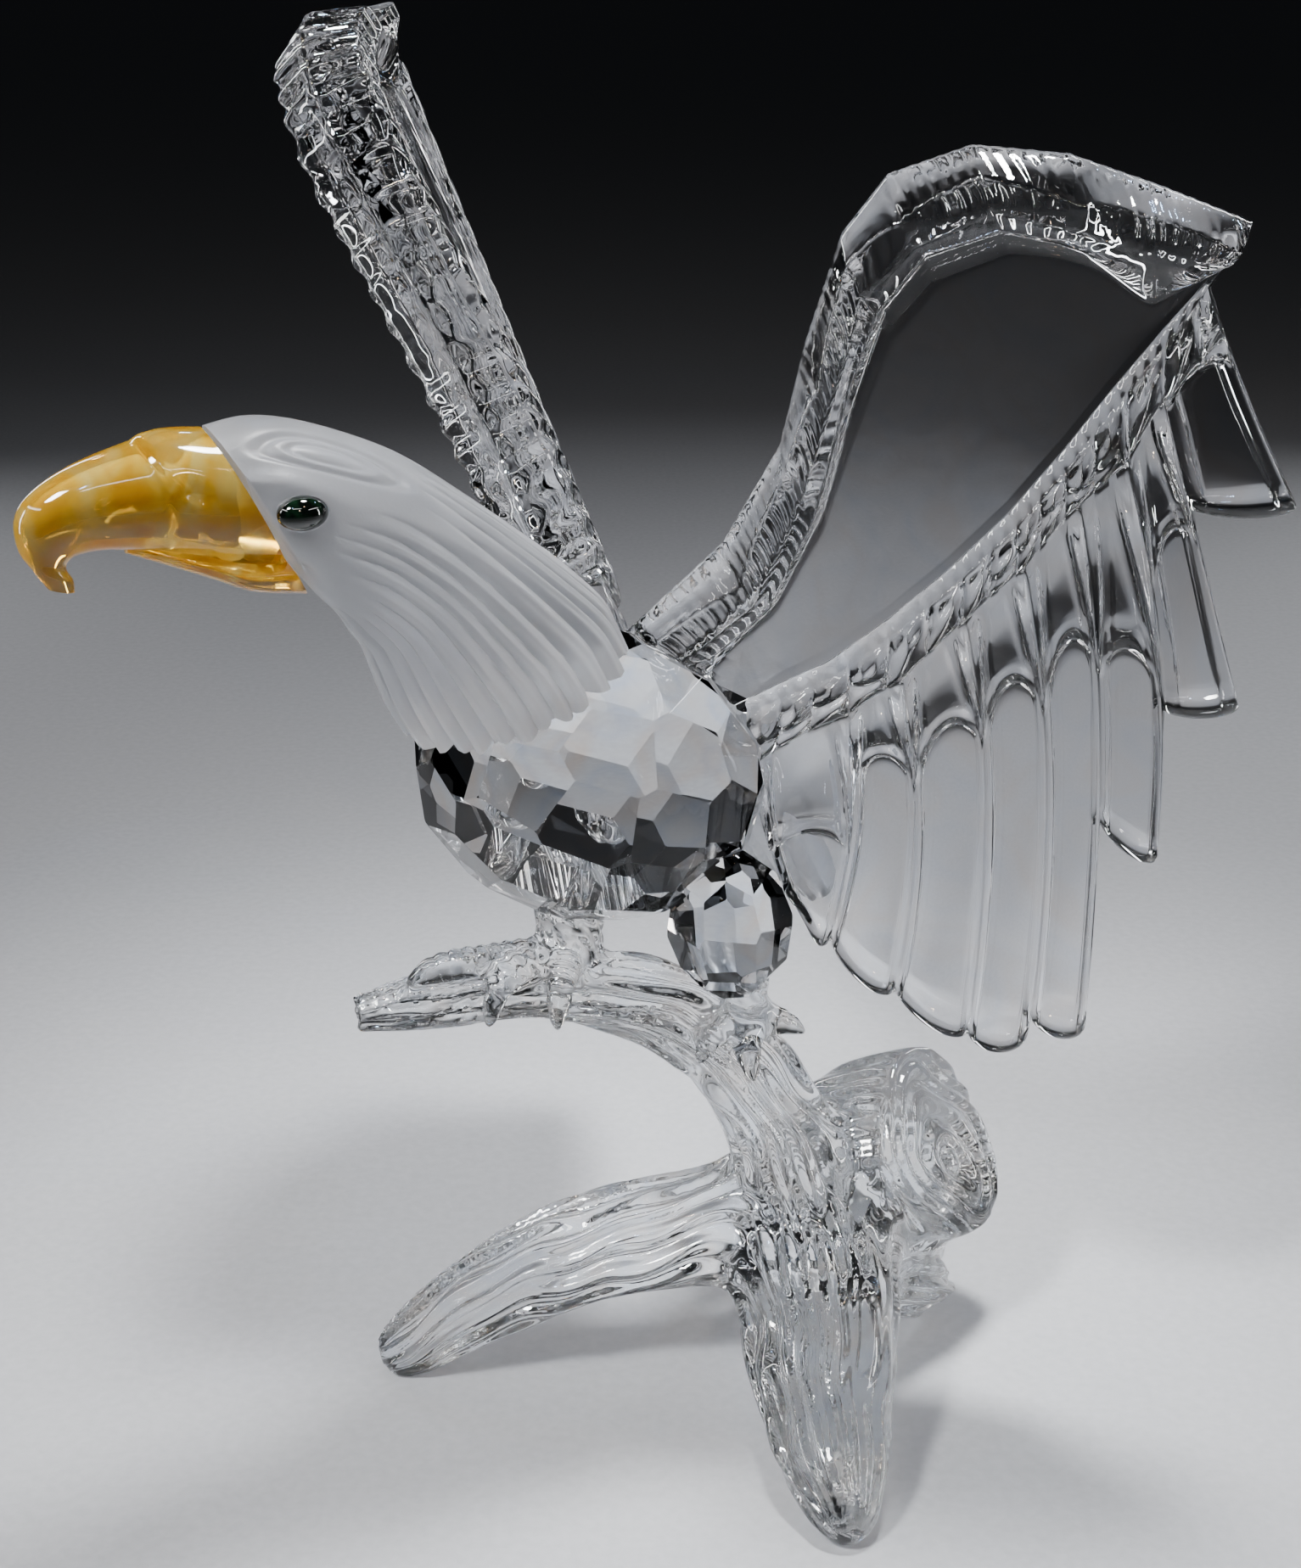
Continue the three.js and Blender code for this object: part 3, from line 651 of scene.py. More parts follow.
# %% Eyes
def eye_rings(sign, rows=24, around=40, pole=0.04):
    """Rings of an ellipsoid from its front pole to its back pole, closed by fans beside the poles."""
    tilt, turn = ring_grid(rows, around, pole, np.pi - pole)
    x = EYE_LENGTH / 2 * np.cos(tilt)
    y = EYE_HEIGHT / 2 * np.sin(tilt) * np.cos(turn)
    side = EYE_HEIGHT / 2 * np.sin(tilt) * np.sin(turn)
    return on_head(EYE_PLACE[0] + x, EYE_PLACE[1] + y, sign * EYE_SIDE + side)


for eye_name, eye_sign in (("eye_left", 1), ("eye_right", -1)):
    show(f"{eye_name}_bead", rings_to_mesh(eye_name, eye_rings(eye_sign)), bead, "black_crystal", eye_name)

# %% [markdown]
# ## Beak
# The beak is amber glass. Two skins, the hooked upper bill and the short lower one, are joined as
# solids, and the crease that is left between them is the mouth line.

# %% Beak
UPPER_BILL = np.array([
    [3.7, 6.9, -2.4, -5.8, 6.0],
    [7.2, 7.1, 1.6, -5.0, 5.4],
    [10.5, 6.4, 4.6, -4.0, 4.8],
    [14.0, 5.3, 8.4, -3.0, 4.0],
    [16.9, 3.9, 12.4, -2.3, 3.2],
    [19.0, 2.3, 14.9, -2.4, 2.6],
    [19.9, 0.6, 15.9, -2.9, 2.1],
    [19.8, -1.6, 16.1, -3.6, 1.5],
    [18.9, -3.3, 15.7, -4.5, 1.3],
    [17.9, -5.0, 15.7, -5.5, 0.9],
])
LOWER_BILL = np.array([
    [-1.5, -3.6, -3.7, -7.9, 4.9],
    [1.8, -3.8, 1.0, -7.2, 4.2],
    [5.0, -3.0, 4.4, -5.7, 3.2],
    [8.4, -2.2, 8.2, -4.1, 2.2],
    [11.0, -1.8, 11.0, -3.0, 1.0],
])


def bill_rings(stations, upper, rows=90, around=96):
    """One bill: oval rings whose radius is 1 plus bells and steps of the share and the angle. The
    upper one has a ridge, a step behind the nostrils, the nostrils and a cutting edge."""
    share, angle = ring_grid(rows, around)
    down = np.cos(angle)
    side = np.abs(np.sin(angle))
    if upper:
        ridge = 0.03 * bell(down, 1.0, 0.05) * (1 - share)
        cere = -0.035 * smoothstep(share, 0.17, 0.20) * (1 - smoothstep(share, 0.2, 0.5))
        nostril = -0.10 * bell(share, 0.13, 0.035) * bell(down, 0.30, 0.16)
        tomium = -0.05 * bell(down, -0.55, 0.2) * side * bell(share, 0.35, 0.3)
        radial = 1 + ridge + cere + nostril + tomium
    else:
        radial = 1 - 0.04 * bell(down, -0.2, 0.25) * side
    return head_sections(stations, share, angle, radial, JOINT_GAP)


beak_mesh = carved("beak", rings_to_mesh("upper_bill", bill_rings(UPPER_BILL, True)),
                   add=[rings_to_mesh("lower_bill", bill_rings(LOWER_BILL, False, 50, 72))])
show("beak_amber", beak_mesh, amber, "amber_crystal", "beak")

# %% [markdown]
# ## Wings
# A wing is one pressed sheet. Drawn flat, it has a thick bevelled slab along the leading edge, a
# clear panel, a bubbly ridge, rounded coverts and long feathers with raised double ribs. The grid
# follows the drawing: columns run down the feathers and rows cross them. One drawing serves both
# wings, and each wing has its own frame in space. The near slab is cut in broad flat facets with
# fine flutes. The far one, seen edge-on, has wide flutes, and its ridge is plainer.

# %% Wing drawing
LEADING_EDGE = [[-13, 6], [-2.5, 16.8], [3, 27], [5.2, 36.8], [8.2, 46.5], [12, 51.6], [19, 54.2],
                [27, 53.6], [34.5, 51.2], [42.6, 48.2]]
QUILLS = np.array([
    [[0, 0], [1.8, -10.5], [4.6, -18.5]],
    [[8.6, 5.0], [11.1, -7.3], [9.0, -22.8]],
    [[13.8, 9.6], [17.0, -8.0], [15.7, -26.9]],
    [[19.4, 15.2], [23.4, -4.0], [23.1, -30.0]],
    [[24.5, 21.0], [28.9, -1.0], [29.0, -29.0]],
    [[29.0, 27.2], [33.4, 4.0], [34.4, -27.0]],
    [[32.2, 32.2], [38.0, 12.0], [39.6, -8.7]],
    [[35.4, 37.0], [39.8, 23.6], [45.5, 6.9]],
    [[39.4, 43.2], [43.4, 34.4], [48.5, 25.2]],
])
LEFT_CORNERS = np.array([1, 1, 1, 1, 0.97, 0.68, 0.66, 0.49])
TIP_BULGE = np.array([2.4, 2.2, 2.0, 2.4, 2.0, 1.6, 1.2, 1.2])
COVERT_ENDS = np.array([0.62, 0.36, 0.34, 0.33, 0.34, 0.55, 0.5, 0.3])
FEATHERS = len(LEFT_CORNERS)
FOLD = 0.25
WING_RIM_THICKNESS = 9.0
SLAB_FLAT_END = 5.5
SLAB_FOOT = 7.5
WING_PANEL_THICKNESS = 4.0
RIDGE_WIDTH = 4.6
RIDGE_RISE = 1.8
FEATHER_THICKNESS = 3.2
RIM_BEVEL = 2.2
RIM_CREASE = 0.8
COVERT_PUFF = 1.3
RIB_RISE = 0.7
RIB_HALF_WIDTHS = np.array([0.55, 0.55, 0.55, 0.6, 0.6, 0.7, 1.2, 1.2])
print("a wing has", FEATHERS, "feathers and", len(LEADING_EDGE) - 1, "strokes on its leading edge")


def quill_point(start, bend, end, t):
    """A point of a quadratic Bezier curve: the start, bend and end weighted by the share t."""
    t = t[..., None]
    return (1 - t) ** 2 * start + 2 * t * (1 - t) * bend + t ** 2 * end


def quill_direction(start, bend, end, t):
    """The direction of a quadratic Bezier curve at the share t."""
    return unit((1 - t)[..., None] * (bend - start) + t[..., None] * (end - bend))


# %% Wing grid
def profile(position, stops):
    """Straight lines between (position, value) stops."""
    where, value = zip(*stops)
    return np.interp(position, where, value)


def rim_ripples(run, nominal, style):
    """Flutes across the slab: rounded waves along the edge, bent into shallow U shapes. They fade
    out on the smooth facets at the elbow and halfway up. jumble adds finer waves."""
    pitch = style["pitch"]
    along = run + 0.5 * np.sin(run / 3.1) + 0.16 * (nominal - 3) ** 2
    smooth_facets = 0.9 * bell(run, 50, 4.5) + 0.6 * bell(run, 33, 3.5)
    finer = np.cos(2 * np.pi * along / (0.61 * pitch) + 1.3)
    wave = np.cos(2 * np.pi * along / pitch) + style["jumble"] * finer
    return wave * (1 - style["smooth"] * smooth_facets)


def upper_sheet(grid, style):
    """The slab and the clear panel: rows at set distances from the leading edge, down to the ridge.
    The creases of the slab zigzag from one corner of the edge to the next, which cuts its bevels
    into flat facets. The ripples lift both faces, and on the bevels they also push outwards."""
    edge = grid["edge"]
    drop = grid["ridge"] - edge
    panel_length = np.linalg.norm(drop, axis=1)
    drop = drop / panel_length[:, None]
    rim_rows = np.concatenate([np.linspace(0, SLAB_FLAT_END, 19),
                               np.linspace(SLAB_FLAT_END, SLAB_FOOT, 6)[1:]])
    wide_bevel = 2.6 * bell(grid["edge_share"], 0.88, 0.10)
    stretched = rim_rows[:, None] + np.maximum(0, rim_rows[:, None] - SLAB_FLAT_END) / 2 * wide_bevel
    rim_away = stretched * np.minimum(1, 0.7 * panel_length / stretched[-1])
    panel_share = np.array([0.15, 0.4, 0.7, 1.0])
    to_strip = np.maximum(panel_length - rim_away[-1] - 1.4, 0.3 * (panel_length - rim_away[-1]))
    panel_away = rim_away[-1] + panel_share[:, None] * to_strip
    strip_share = np.array([0.12, 0.24, 0.9, 1.0])
    strip_away = panel_away[-1] + strip_share[:, None] * (panel_length - panel_away[-1])
    away = np.concatenate([rim_away, panel_away, strip_away])
    beyond_slab = np.full((len(panel_share) + len(strip_share), len(edge)), 9.0)
    nominal = np.concatenate([np.repeat(rim_rows[:, None], len(edge), 1), beyond_slab])
    half_rim, half_panel = WING_RIM_THICKNESS / 2, WING_PANEL_THICKNESS / 2
    zigzag = 2 * np.abs(2 * np.mod(grid["edge_share"] * (len(LEADING_EDGE) - 1) / 2, 1) - 1) - 1
    facets = style["facets"] * zigzag * bell(nominal, 3.6, 1.9)
    front = profile(nominal + facets, [(0, RIM_CREASE), (RIM_BEVEL, half_rim),
                                       (SLAB_FLAT_END, half_rim - 0.3), (SLAB_FOOT, half_panel)])
    back = profile(nominal - facets, [(0, 0.0), (RIM_BEVEL, half_rim), (SLAB_FLAT_END, half_rim),
                                      (SLAB_FOOT, half_panel)])
    ripples = rim_ripples(grid["edge_run"], nominal, style)
    on_slab = smoothstep(nominal, 0.0, 0.8) * (1 - smoothstep(nominal, 4.6, 5.4))
    on_bevel = 1 - smoothstep(nominal, 1.6, 2.8)
    away = away - style["outward"] * ripples * on_bevel
    strip = np.zeros_like(front)
    strip[-3:] = 0.5 + 0.05 * np.cos(2 * np.pi * grid["ridge_run"] / 1.6)
    lift = ripples * on_slab
    return (edge + away[..., None] * drop, front + style["front"] * lift + strip,
            back + style["back"] * lift)


def feather_profile(grid, inside, zone, border, centred):
    """How far the front and back faces stand out below the ridge, zone by zone. The ridge has lumps,
    roots of |sin| along it. Coverts have a domed lens, a keel and a lip, which are steps and bells
    of the distance to the border. Ribs are half circles beside the border, and tips round off."""
    half, half_panel = FEATHER_THICKNESS / 2, WING_PANEL_THICKNESS / 2
    run = grid["ridge_run"]
    hump = np.sin(np.pi * inside) ** 0.5
    cell = run / 4.0 + 0.30 * np.sin(run / 5.3) + 0.35 * (inside - 0.5)
    lumps = np.abs(np.sin(np.pi * cell)) ** 0.5
    furrow = bell(inside, 0.55 + 0.12 * np.sin(run / 2.1), 0.09) * smoothstep(np.sin(run / 4.7), -0.5, 0.3)
    pebbles = np.abs(np.sin(np.pi * (run / 1.9 + 0.8 * inside))) * bell(inside, 0.22, 0.14)
    ridge_front = half_panel + 0.5 * (1 - inside) ** 4 + 0.2 * RIDGE_RISE * inside + RIDGE_RISE * hump * (
        0.05 + 1.0 * lumps - grid["fine"] * (0.32 * furrow + 0.25 * pebbles))

    swell = smoothstep(inside, -0.15, 0.45)
    lens = (1 - centred ** 2) * np.sin(np.pi * (0.12 + 0.74 * inside))
    wedge = 0.35 + 1.4 * (1 - inside) ** 0.9
    keel = 1.2 * (1 - smoothstep(border, wedge - 0.35, wedge + 0.15)) * smoothstep(inside, 0.05, 0.4)
    keel = (keel + 0.22 * bell(border, wedge - 0.2, 0.22) * smoothstep(inside, 0.1, 0.4)
            - 0.25 * bell(border, 0, 0.2))
    hollow = -0.30 * bell(border, wedge + 0.75, 0.4) * swell
    lip = 0.75 * bell(inside, 0.95, 0.09) * smoothstep(border, 0.4, 1.2)
    start = half_panel + 0.2 * RIDGE_RISE
    covert_base = start * (1 - inside) + inside * half
    covert_front = covert_base + COVERT_PUFF * lens * swell + keel + hollow + lip

    rib_half = grid["rib_half"]
    tube = np.sqrt(np.clip(1 - (border / (rib_half + 0.25)) ** 2, 0, 1))
    ribs = RIB_RISE * np.minimum(1.15 * tube, 1) - 0.28 * bell(border, 0, 0.16)
    spoon = -0.22 * (1 - centred ** 2) * smoothstep(inside, 0.2, 0.9)
    feather_front = half * (0.9 - 0.15 * inside) + ribs + spoon - 0.18 * centred
    last_covert = (half + COVERT_PUFF * np.sin(0.86 * np.pi) * (1 - centred ** 2)
                   + 0.95 * (1 - smoothstep(border, 0, 0.5)) - 0.25 * bell(border, 0, 0.2)
                   + 0.55 * smoothstep(border, 0.4, 1.2))
    first_feather = half * 0.9 + ribs - 0.18 * centred
    step_front = last_covert + (first_feather - last_covert) * smoothstep(inside, 0, 1)
    round_off = np.sqrt(np.clip(1 - np.clip(inside - 0.35, 0, 1) ** 2 / 0.65 ** 2, 0.02, 1))
    bead = 0.60 * smoothstep(inside, 0.0, 0.35)
    tip_front = (half * 0.75 + (ribs + spoon - 0.18 * centred) * (1 - inside) + bead) * round_off
    front = np.choose(zone, [ridge_front, covert_front, step_front, feather_front, tip_front])

    ridge_back = half_panel + 0.6 * RIDGE_RISE * hump * (0.7 + 0.3 * lumps)
    covert_back = half_panel * (1 - inside) + inside * half + 0.4 * COVERT_PUFF * lens * swell + 0.3 * keel
    last_back = half + 0.1 * COVERT_PUFF * (1 - centred ** 2) + 0.35 * bell(border, 0, 0.6)
    first_back = half * 0.9 + 0.35 * ribs
    step_back = last_back + (first_back - last_back) * smoothstep(inside, 0, 1)
    feather_back = half * (0.9 - 0.3 * inside) + 0.35 * ribs
    tip_back = (half * 0.6 + 0.35 * ribs * (1 - inside)) * round_off
    return front, np.choose(zone, [ridge_back, covert_back, step_back, feather_back, tip_back])


def lower_sheet(grid):
    """Ridge, coverts and feathers: rows at set reaches down the quill lines, zone by zone. A point
    mixes the Bezier curves of the two quills beside it, and the tip bulges along their fall."""
    share, feather, mixed = grid["share"], grid["feather"], grid["share"][:, None]
    bends = 2 * QUILLS[:, 1] - (QUILLS[:, 0] + QUILLS[:, 2]) / 2
    left = [QUILLS[feather, 0], bends[feather], QUILLS[feather, 2]]
    right = [QUILLS[feather + 1, 0], bends[feather + 1], QUILLS[feather + 1, 2]]
    left_share = LEFT_CORNERS[feather]
    fall = unit((1 - mixed) * quill_direction(*left, left_share)
                + mixed * quill_direction(*right, np.ones_like(share)))
    bulge = TIP_BULGE[feather] * np.sqrt(1 - (2 * share ** 1.25 - 1) ** 2)

    def lower(reach):
        low = quill_point(*left, reach * left_share)
        high = quill_point(*right, reach)
        return low * (1 - mixed) + high * mixed + fall * (bulge * reach ** 4)[..., None]

    length = np.linalg.norm(lower(np.ones((1, len(share))))[0] - grid["ridge"], axis=1)
    none = np.zeros_like(share)
    ridge_share = np.minimum(RIDGE_WIDTH / length, 0.3)
    centred = 2 * share - 1
    covert_end = COVERT_ENDS[feather] + 0.10 * np.abs(centred) ** 2.2 - 0.045
    tip_start = 1 - np.minimum(2.3 / length, 0.12)
    zones = [(none, ridge_share, 15), (ridge_share, covert_end, 24), (covert_end, covert_end + 0.03, 4),
             (covert_end + 0.03, tip_start, 20), (tip_start, none + 1, 10)]
    reach, zone, inside = [], [], []
    for number, (start, stop, rows) in enumerate(zones):
        steps = np.linspace(0, 1, rows + 1)[1:]
        if number == 4:
            steps = np.sin(np.pi / 2 * steps)
        reach.append(start + steps[:, None] * (stop - start))
        inside.append(np.repeat(steps[:, None], len(share), 1))
        zone.append(np.full((rows, len(share)), number))
    reach, zone, inside = (np.concatenate(part) for part in (reach, zone, inside))
    width = np.linalg.norm(quill_point(*left, reach * left_share) - quill_point(*right, reach), axis=-1)
    border = np.minimum(share, 1 - share) * width
    return lower(reach), *feather_profile(grid, inside, zone, border, centred)


def wing_sheets(style, across=58):
    """Places on the drawing and the front and back offsets of every grid point, row by row. The
    leading edge is cut in straight strokes from point to point."""
    even = np.linspace(0, 1, across)
    local = 0.5 * even + 0.5 * (0.5 - 0.5 * np.cos(np.pi * even))
    share = np.tile(0.015 + 0.97 * local, FEATHERS)
    feather = np.repeat(np.arange(FEATHERS), across)
    edge_share = (feather + share) / FEATHERS
    corners = np.array(LEADING_EDGE)
    stroke = edge_share * (len(corners) - 1)
    edge = np.stack([np.interp(stroke, np.arange(len(corners)), corners[:, axis]) for axis in (0, 1)], -1)
    mixed = share[:, None]
    ridge = QUILLS[feather, 0] * (1 - mixed) + QUILLS[feather + 1, 0] * mixed
    grid = {"share": share, "feather": feather, "edge": edge, "ridge": ridge, "edge_share": edge_share,
            "edge_run": running_length(edge), "ridge_run": running_length(ridge),
            "rib_half": RIB_HALF_WIDTHS[feather], "fine": style["fine"]}
    parts = [upper_sheet(grid, style), lower_sheet(grid)]
    return [np.concatenate(pair) for pair in zip(*parts)]


# Flute pitch, finer waves, smooth facets, facet depth, flute depths and the ridge's fine relief.
NEAR_SLAB = dict(pitch=1.4, jumble=0.35, smooth=1.0, facets=1.2, front=0.05, back=0.15, outward=0.03,
                 fine=1.0)
FAR_SLAB = dict(pitch=3.5, jumble=0.0, smooth=0.0, facets=0.5, front=0.24, back=0.24, outward=0.13,
                fine=0.0)
WING_SHEETS = {"wing_left": wing_sheets(NEAR_SLAB), "wing_right": wing_sheets(FAR_SLAB)}
print("one wing sheet has", WING_SHEETS["wing_left"][1].shape, "rows and columns")


# %% Wing frames
def wing_frame(origin, heading, lean, roll, hand):
    """The wing's axes from the heading of its span, its lean to the front and its roll, in degrees."""
    turn, tip, spin = np.radians([heading, lean, roll])
    level = np.array([math.cos(turn), math.sin(turn), 0])
    ahead = np.array([math.sin(turn), -math.cos(turn), 0]) * hand
    upright = UPWARD * math.cos(tip) + ahead * math.sin(tip)
    front = ahead * math.cos(tip) - UPWARD * math.sin(tip)
    span = level * math.cos(spin) + upright * math.sin(spin)
    rise = upright * math.cos(spin) - level * math.sin(spin)
    return {"origin": np.array(origin), "span": span, "rise": rise, "front": front}


LEFT_WING = wing_frame((9.6, 5.0, 71.8), -10, 8, 0, 1)
RIGHT_WING = wing_frame((-6.5, 13.0, 82.0), 86, 27, 16, -1)
ridge_direction = unit(QUILLS[-1, 0] - QUILLS[0, 0])


def in_space(wing, place, offset):
    """A drawn place and its offset as a point in space; below the ridge the sheet folds forward."""
    below = place[..., 0] * ridge_direction[1] - place[..., 1] * ridge_direction[0]
    out = FOLD * np.maximum(0, below) + offset
    return (wing["origin"] + place[..., :1] * wing["span"] + place[..., 1:] * wing["rise"]
            + out[..., None] * wing["front"])


def wing_solid(name, wing, grow=0.0):
    """The wing as a closed plate."""
    place, front, back = WING_SHEETS[name]
    return plate_to_mesh("wing", in_space(wing, place, front + grow), in_space(wing, place, -back - grow))


# %% [markdown]
# ## Limbs
# Shoulders, roots, legs and toes are all limbs: an oval profile carried along a smooth path, with a
# radius that changes on the way.

# %% Limb helpers
BARK_LOBES = 5
BARK_DEPTH = 0.09


def limb_axes(path, share):
    """Centres, directions and the two side directions along a limb's path."""
    step = 1e-3
    centre = spline(path, share, True)
    ahead = unit(spline(path, np.minimum(share + step, 1), True)
                 - spline(path, np.maximum(share - step, 0), True))
    side = unit(np.stack([-ahead[:, 1], ahead[:, 0], 0 * ahead[:, 0]], -1))
    upward = unit(np.cross(ahead, side))
    return centre, ahead, side, upward


def limb_radius(radii, share):
    """The radius along a limb, smooth through its stations."""
    return spline(np.stack([np.arange(len(radii)), radii], -1), share)[..., 1]


def limb_rings(path, radii, lobes=BARK_LOBES, depth=BARK_DEPTH, swirl=1.4, squash=1.0, round_tip=0.0,
               rows=90, around=60):
    """Rings along the path. Their radius swells and sinks in lobes that swirl along the limb, and
    closes as a half oval over the last round_tip share."""
    share = np.linspace(0, 1, rows)
    angle = 2 * np.pi * np.arange(around) / around
    centre, _, side, upward = limb_axes(path, share)
    closing = np.ones(rows)
    if round_tip:
        closing = np.sqrt(np.clip(1 - (np.maximum(0, share - 1 + round_tip) / round_tip) ** 2, 0.01, 1))
    reach = (limb_radius(radii, share) * closing)[:, None] * (
        1 + depth * np.cos(lobes * angle + swirl * np.pi * share[:, None]))
    return (centre[:, None] + (reach * np.cos(angle))[..., None] * side[:, None]
            + (reach * squash * np.sin(angle))[..., None] * upward[:, None])


# %% Wings
def shoulder_rings(wing):
    """The oval neck of glass that carries a wing from its root down into the body."""
    spots = [wing["origin"] - wing["span"] + 12 * wing["rise"],
             wing["origin"] - 6 * wing["span"] + 5 * wing["rise"],
             node_centre("body") - carving_shift]
    return limb_rings(spots, [2.6, 3.4, 4.0], depth=0.0, rows=24, around=32)


def neck_seat():
    """The neck's outer form, grown by the joint's gap, that the wings keep clear of."""
    share, angle = ring_grid(40, 4 * NECK_FLUTES)
    radial = np.full_like(share, 1 + (JOINT_GAP + NECK_FLUTE_DEPTH) / 8)
    along = np.where(share >= 1, -(RIM_SCALLOP / 2 + JOINT_GAP), 0.0)
    return rings_to_mesh("neck_seat", head_sections(NECK, share, angle, radial, along))


for wing_name, wing in (("wing_left", LEFT_WING), ("wing_right", RIGHT_WING)):
    wing_mesh = carved(wing_name, wing_solid(wing_name, wing),
                       add=[rings_to_mesh("shoulder", shoulder_rings(wing))],
                       cut=[grown_copy("body", JOINT_GAP), neck_seat()])
    show(f"{wing_name}_glass", wing_mesh, wing_crystal, "clear_crystal", wing_name)

# %% [markdown]
# ## Tail
# Behind the body hangs a fan of five frosted feathers. It mostly hides, so it is plainer: a plate
# whose feathers swell between shallow grooves and end in round tips.

# %% Tail
TAIL_ROOT = np.array([6.5, 9.2, 67.0])
TAIL_LENGTH = 26.0
TAIL_ROOT_WIDTH = 7.0
TAIL_TIP_WIDTH = 12.0
TAIL_THICKNESS = 4.0
TAIL_FEATHERS = 5
tail_fall = unit(np.array([0.36, 0.45, -0.82]))
tail_front = unit(np.cross(tail_fall, np.array([0.8, -0.6, 0.0])))
tail_side = unit(np.cross(tail_front, tail_fall))


def tail_sheets(rows=90, columns=121):
    """Front and back sheets. Across runs from -1 to 1, and |sin| of the feather count makes crests."""
    row, across = np.meshgrid(np.linspace(-0.1, 1, rows), np.linspace(-1, 1, columns), indexing="ij")
    crest = np.abs(np.sin(np.pi * TAIL_FEATHERS * (across + 1) / 2)) ** 0.7
    grown = np.maximum(0, row)
    width = TAIL_ROOT_WIDTH + (TAIL_TIP_WIDTH - TAIL_ROOT_WIDTH) * grown
    tip = smoothstep(row, 0.9, 1) * (1.4 * crest - 2.5 * across ** 2)
    middle = (TAIL_ROOT + (row * TAIL_LENGTH + tip)[..., None] * tail_fall
              + (across * width / 2)[..., None] * tail_side
              - (0.12 * across ** 2 * width)[..., None] * tail_front)
    half = TAIL_THICKNESS / 2 * (1 - 0.55 * grown) + 0.35 * crest
    half = half * np.sqrt(np.clip(1 - smoothstep(row, 0.95, 1.0) ** 2, 0.04, 1))
    barbs = 0.05 * np.cos(2 * np.pi * (row * TAIL_LENGTH / 1.1 - 1.4 * crest)) * smoothstep(row, 0.1, 0.3)
    front = middle + (half + barbs)[..., None] * tail_front
    return front, middle - half[..., None] * tail_front


tail_mesh = carved("tail", plate_to_mesh("tail", *tail_sheets()),
                   cut=[grown_copy("body", JOINT_GAP), wing_solid("wing_left", LEFT_WING, JOINT_GAP)])
show("tail_fan", tail_mesh, frosted, "frosted_crystal", "tail")

# %% [markdown]
# ## Branch
# The perch, the trunk, the roots, the sawn stump and the bird's feet are one pressed piece. The
# limbs are first joined into one skin with a voxel remesh. Then every point of the skin finds the
# limb that it lies on, and its place along and round that limb sets how deep the bark is grooved.

# %% Branch limbs
BRANCH = {
    "perch": dict(path=[[-28.6, -9.2, 45.0], [-24, -8.2, 45.4], [-18.7, -7, 45.7], [-10.5, -5, 46.1],
                        [0.7, -2, 42.6], [8, 0, 36], [12.5, 1, 28], [17.3, 1, 18]],
                  radii=[1.9, 2.7, 3.0, 3.6, 4.4, 4.9, 5.6, 7.6]),
    "left_root": dict(path=[[18, 2, 15], [11.9, 0.5, 15.6], [3, -0.5, 14.6], [-5.9, -1, 12.9],
                            [-13, -2, 10.2], [-18.5, -3, 7.6], [-25, -3.8, 3.2], [-28.6, -4.3, 1.0]],
                      radii=[7.5, 7, 6.2, 5.7, 5.2, 4.5, 3.5, 2.4], round_tip=0.06),
    "front_root": dict(path=[[17.5, 5, 15], [17.2, -4, 13.6], [17.4, -11, 10.2], [17.6, -17, 7.2],
                             [18, -25, 4.2], [18.8, -32.6, 1.1]],
                       radii=[8.5, 9, 8.2, 7, 5.4, 2.8], squash=0.8, round_tip=0.08),
    "heel_root": dict(path=[[18, 2, 15], [21, 11, 9.5], [24.5, 20, 4.5], [27, 28, 1.4]],
                      radii=[8, 7.4, 6, 3.6], squash=0.85, round_tip=0.1),
    "stump": dict(path=[[17, 11, 12], [23, 8.5, 17.5], [30.5, 3, 22.5]], radii=[9, 10, 10.4],
                  lobes=3, depth=0.08, swirl=0.9),
    "stump_skirt": dict(path=[[19, 4, 14], [24.5, 3.5, 10], [27.5, 6, 5], [28.5, 9, 1]],
                        radii=[8, 7.6, 6, 4], squash=0.8),
}
TOES = [
    ([[-8.5, -5.5, 49.8], [-15, -7.6, 50.2], [-20.5, -8.8, 49.8], [-23.8, -9.6, 48.2]], [2, 1.7, 1.4, 0.5]),
    ([[-9.5, -6, 50], [-14.2, -10, 48.6], [-15.6, -11.2, 44.4]], [1.9, 1.5, 0.7]),
    ([[-8, -6, 50], [-8.6, -10, 48.2], [-9, -10.6, 43.8]], [1.9, 1.5, 0.7]),
    ([[-8, -5, 50], [-6, -0.5, 49], [-6.4, 1.6, 45.5]], [1.9, 1.5, 0.7]),
    ([[10, -4.5, 42.5], [13.4, -4.2, 41.4], [15.8, -3.4, 39.6]], [1.9, 1.4, 0.5]),
    ([[9.5, -4.5, 42.5], [9.6, -7.2, 39.6], [10.4, -7.2, 36]], [1.9, 1.5, 0.6]),
    ([[9.5, -4.5, 42.5], [6.2, -6.8, 41.6], [4.6, -8, 38.6]], [1.9, 1.5, 0.6]),
]
LEGS = [
    ([[-8.6, -5, 47], [-8, -4, 51.5], [-7.4, -3, 58]], [3.2, 3.4, 4.4]),
    ([[9.4, -3, 40], [9.6, -4.5, 44], [8.6, -6.2, 52]], [2.6, 2.2, 3]),
]
BRANCH_VOXEL = 0.36


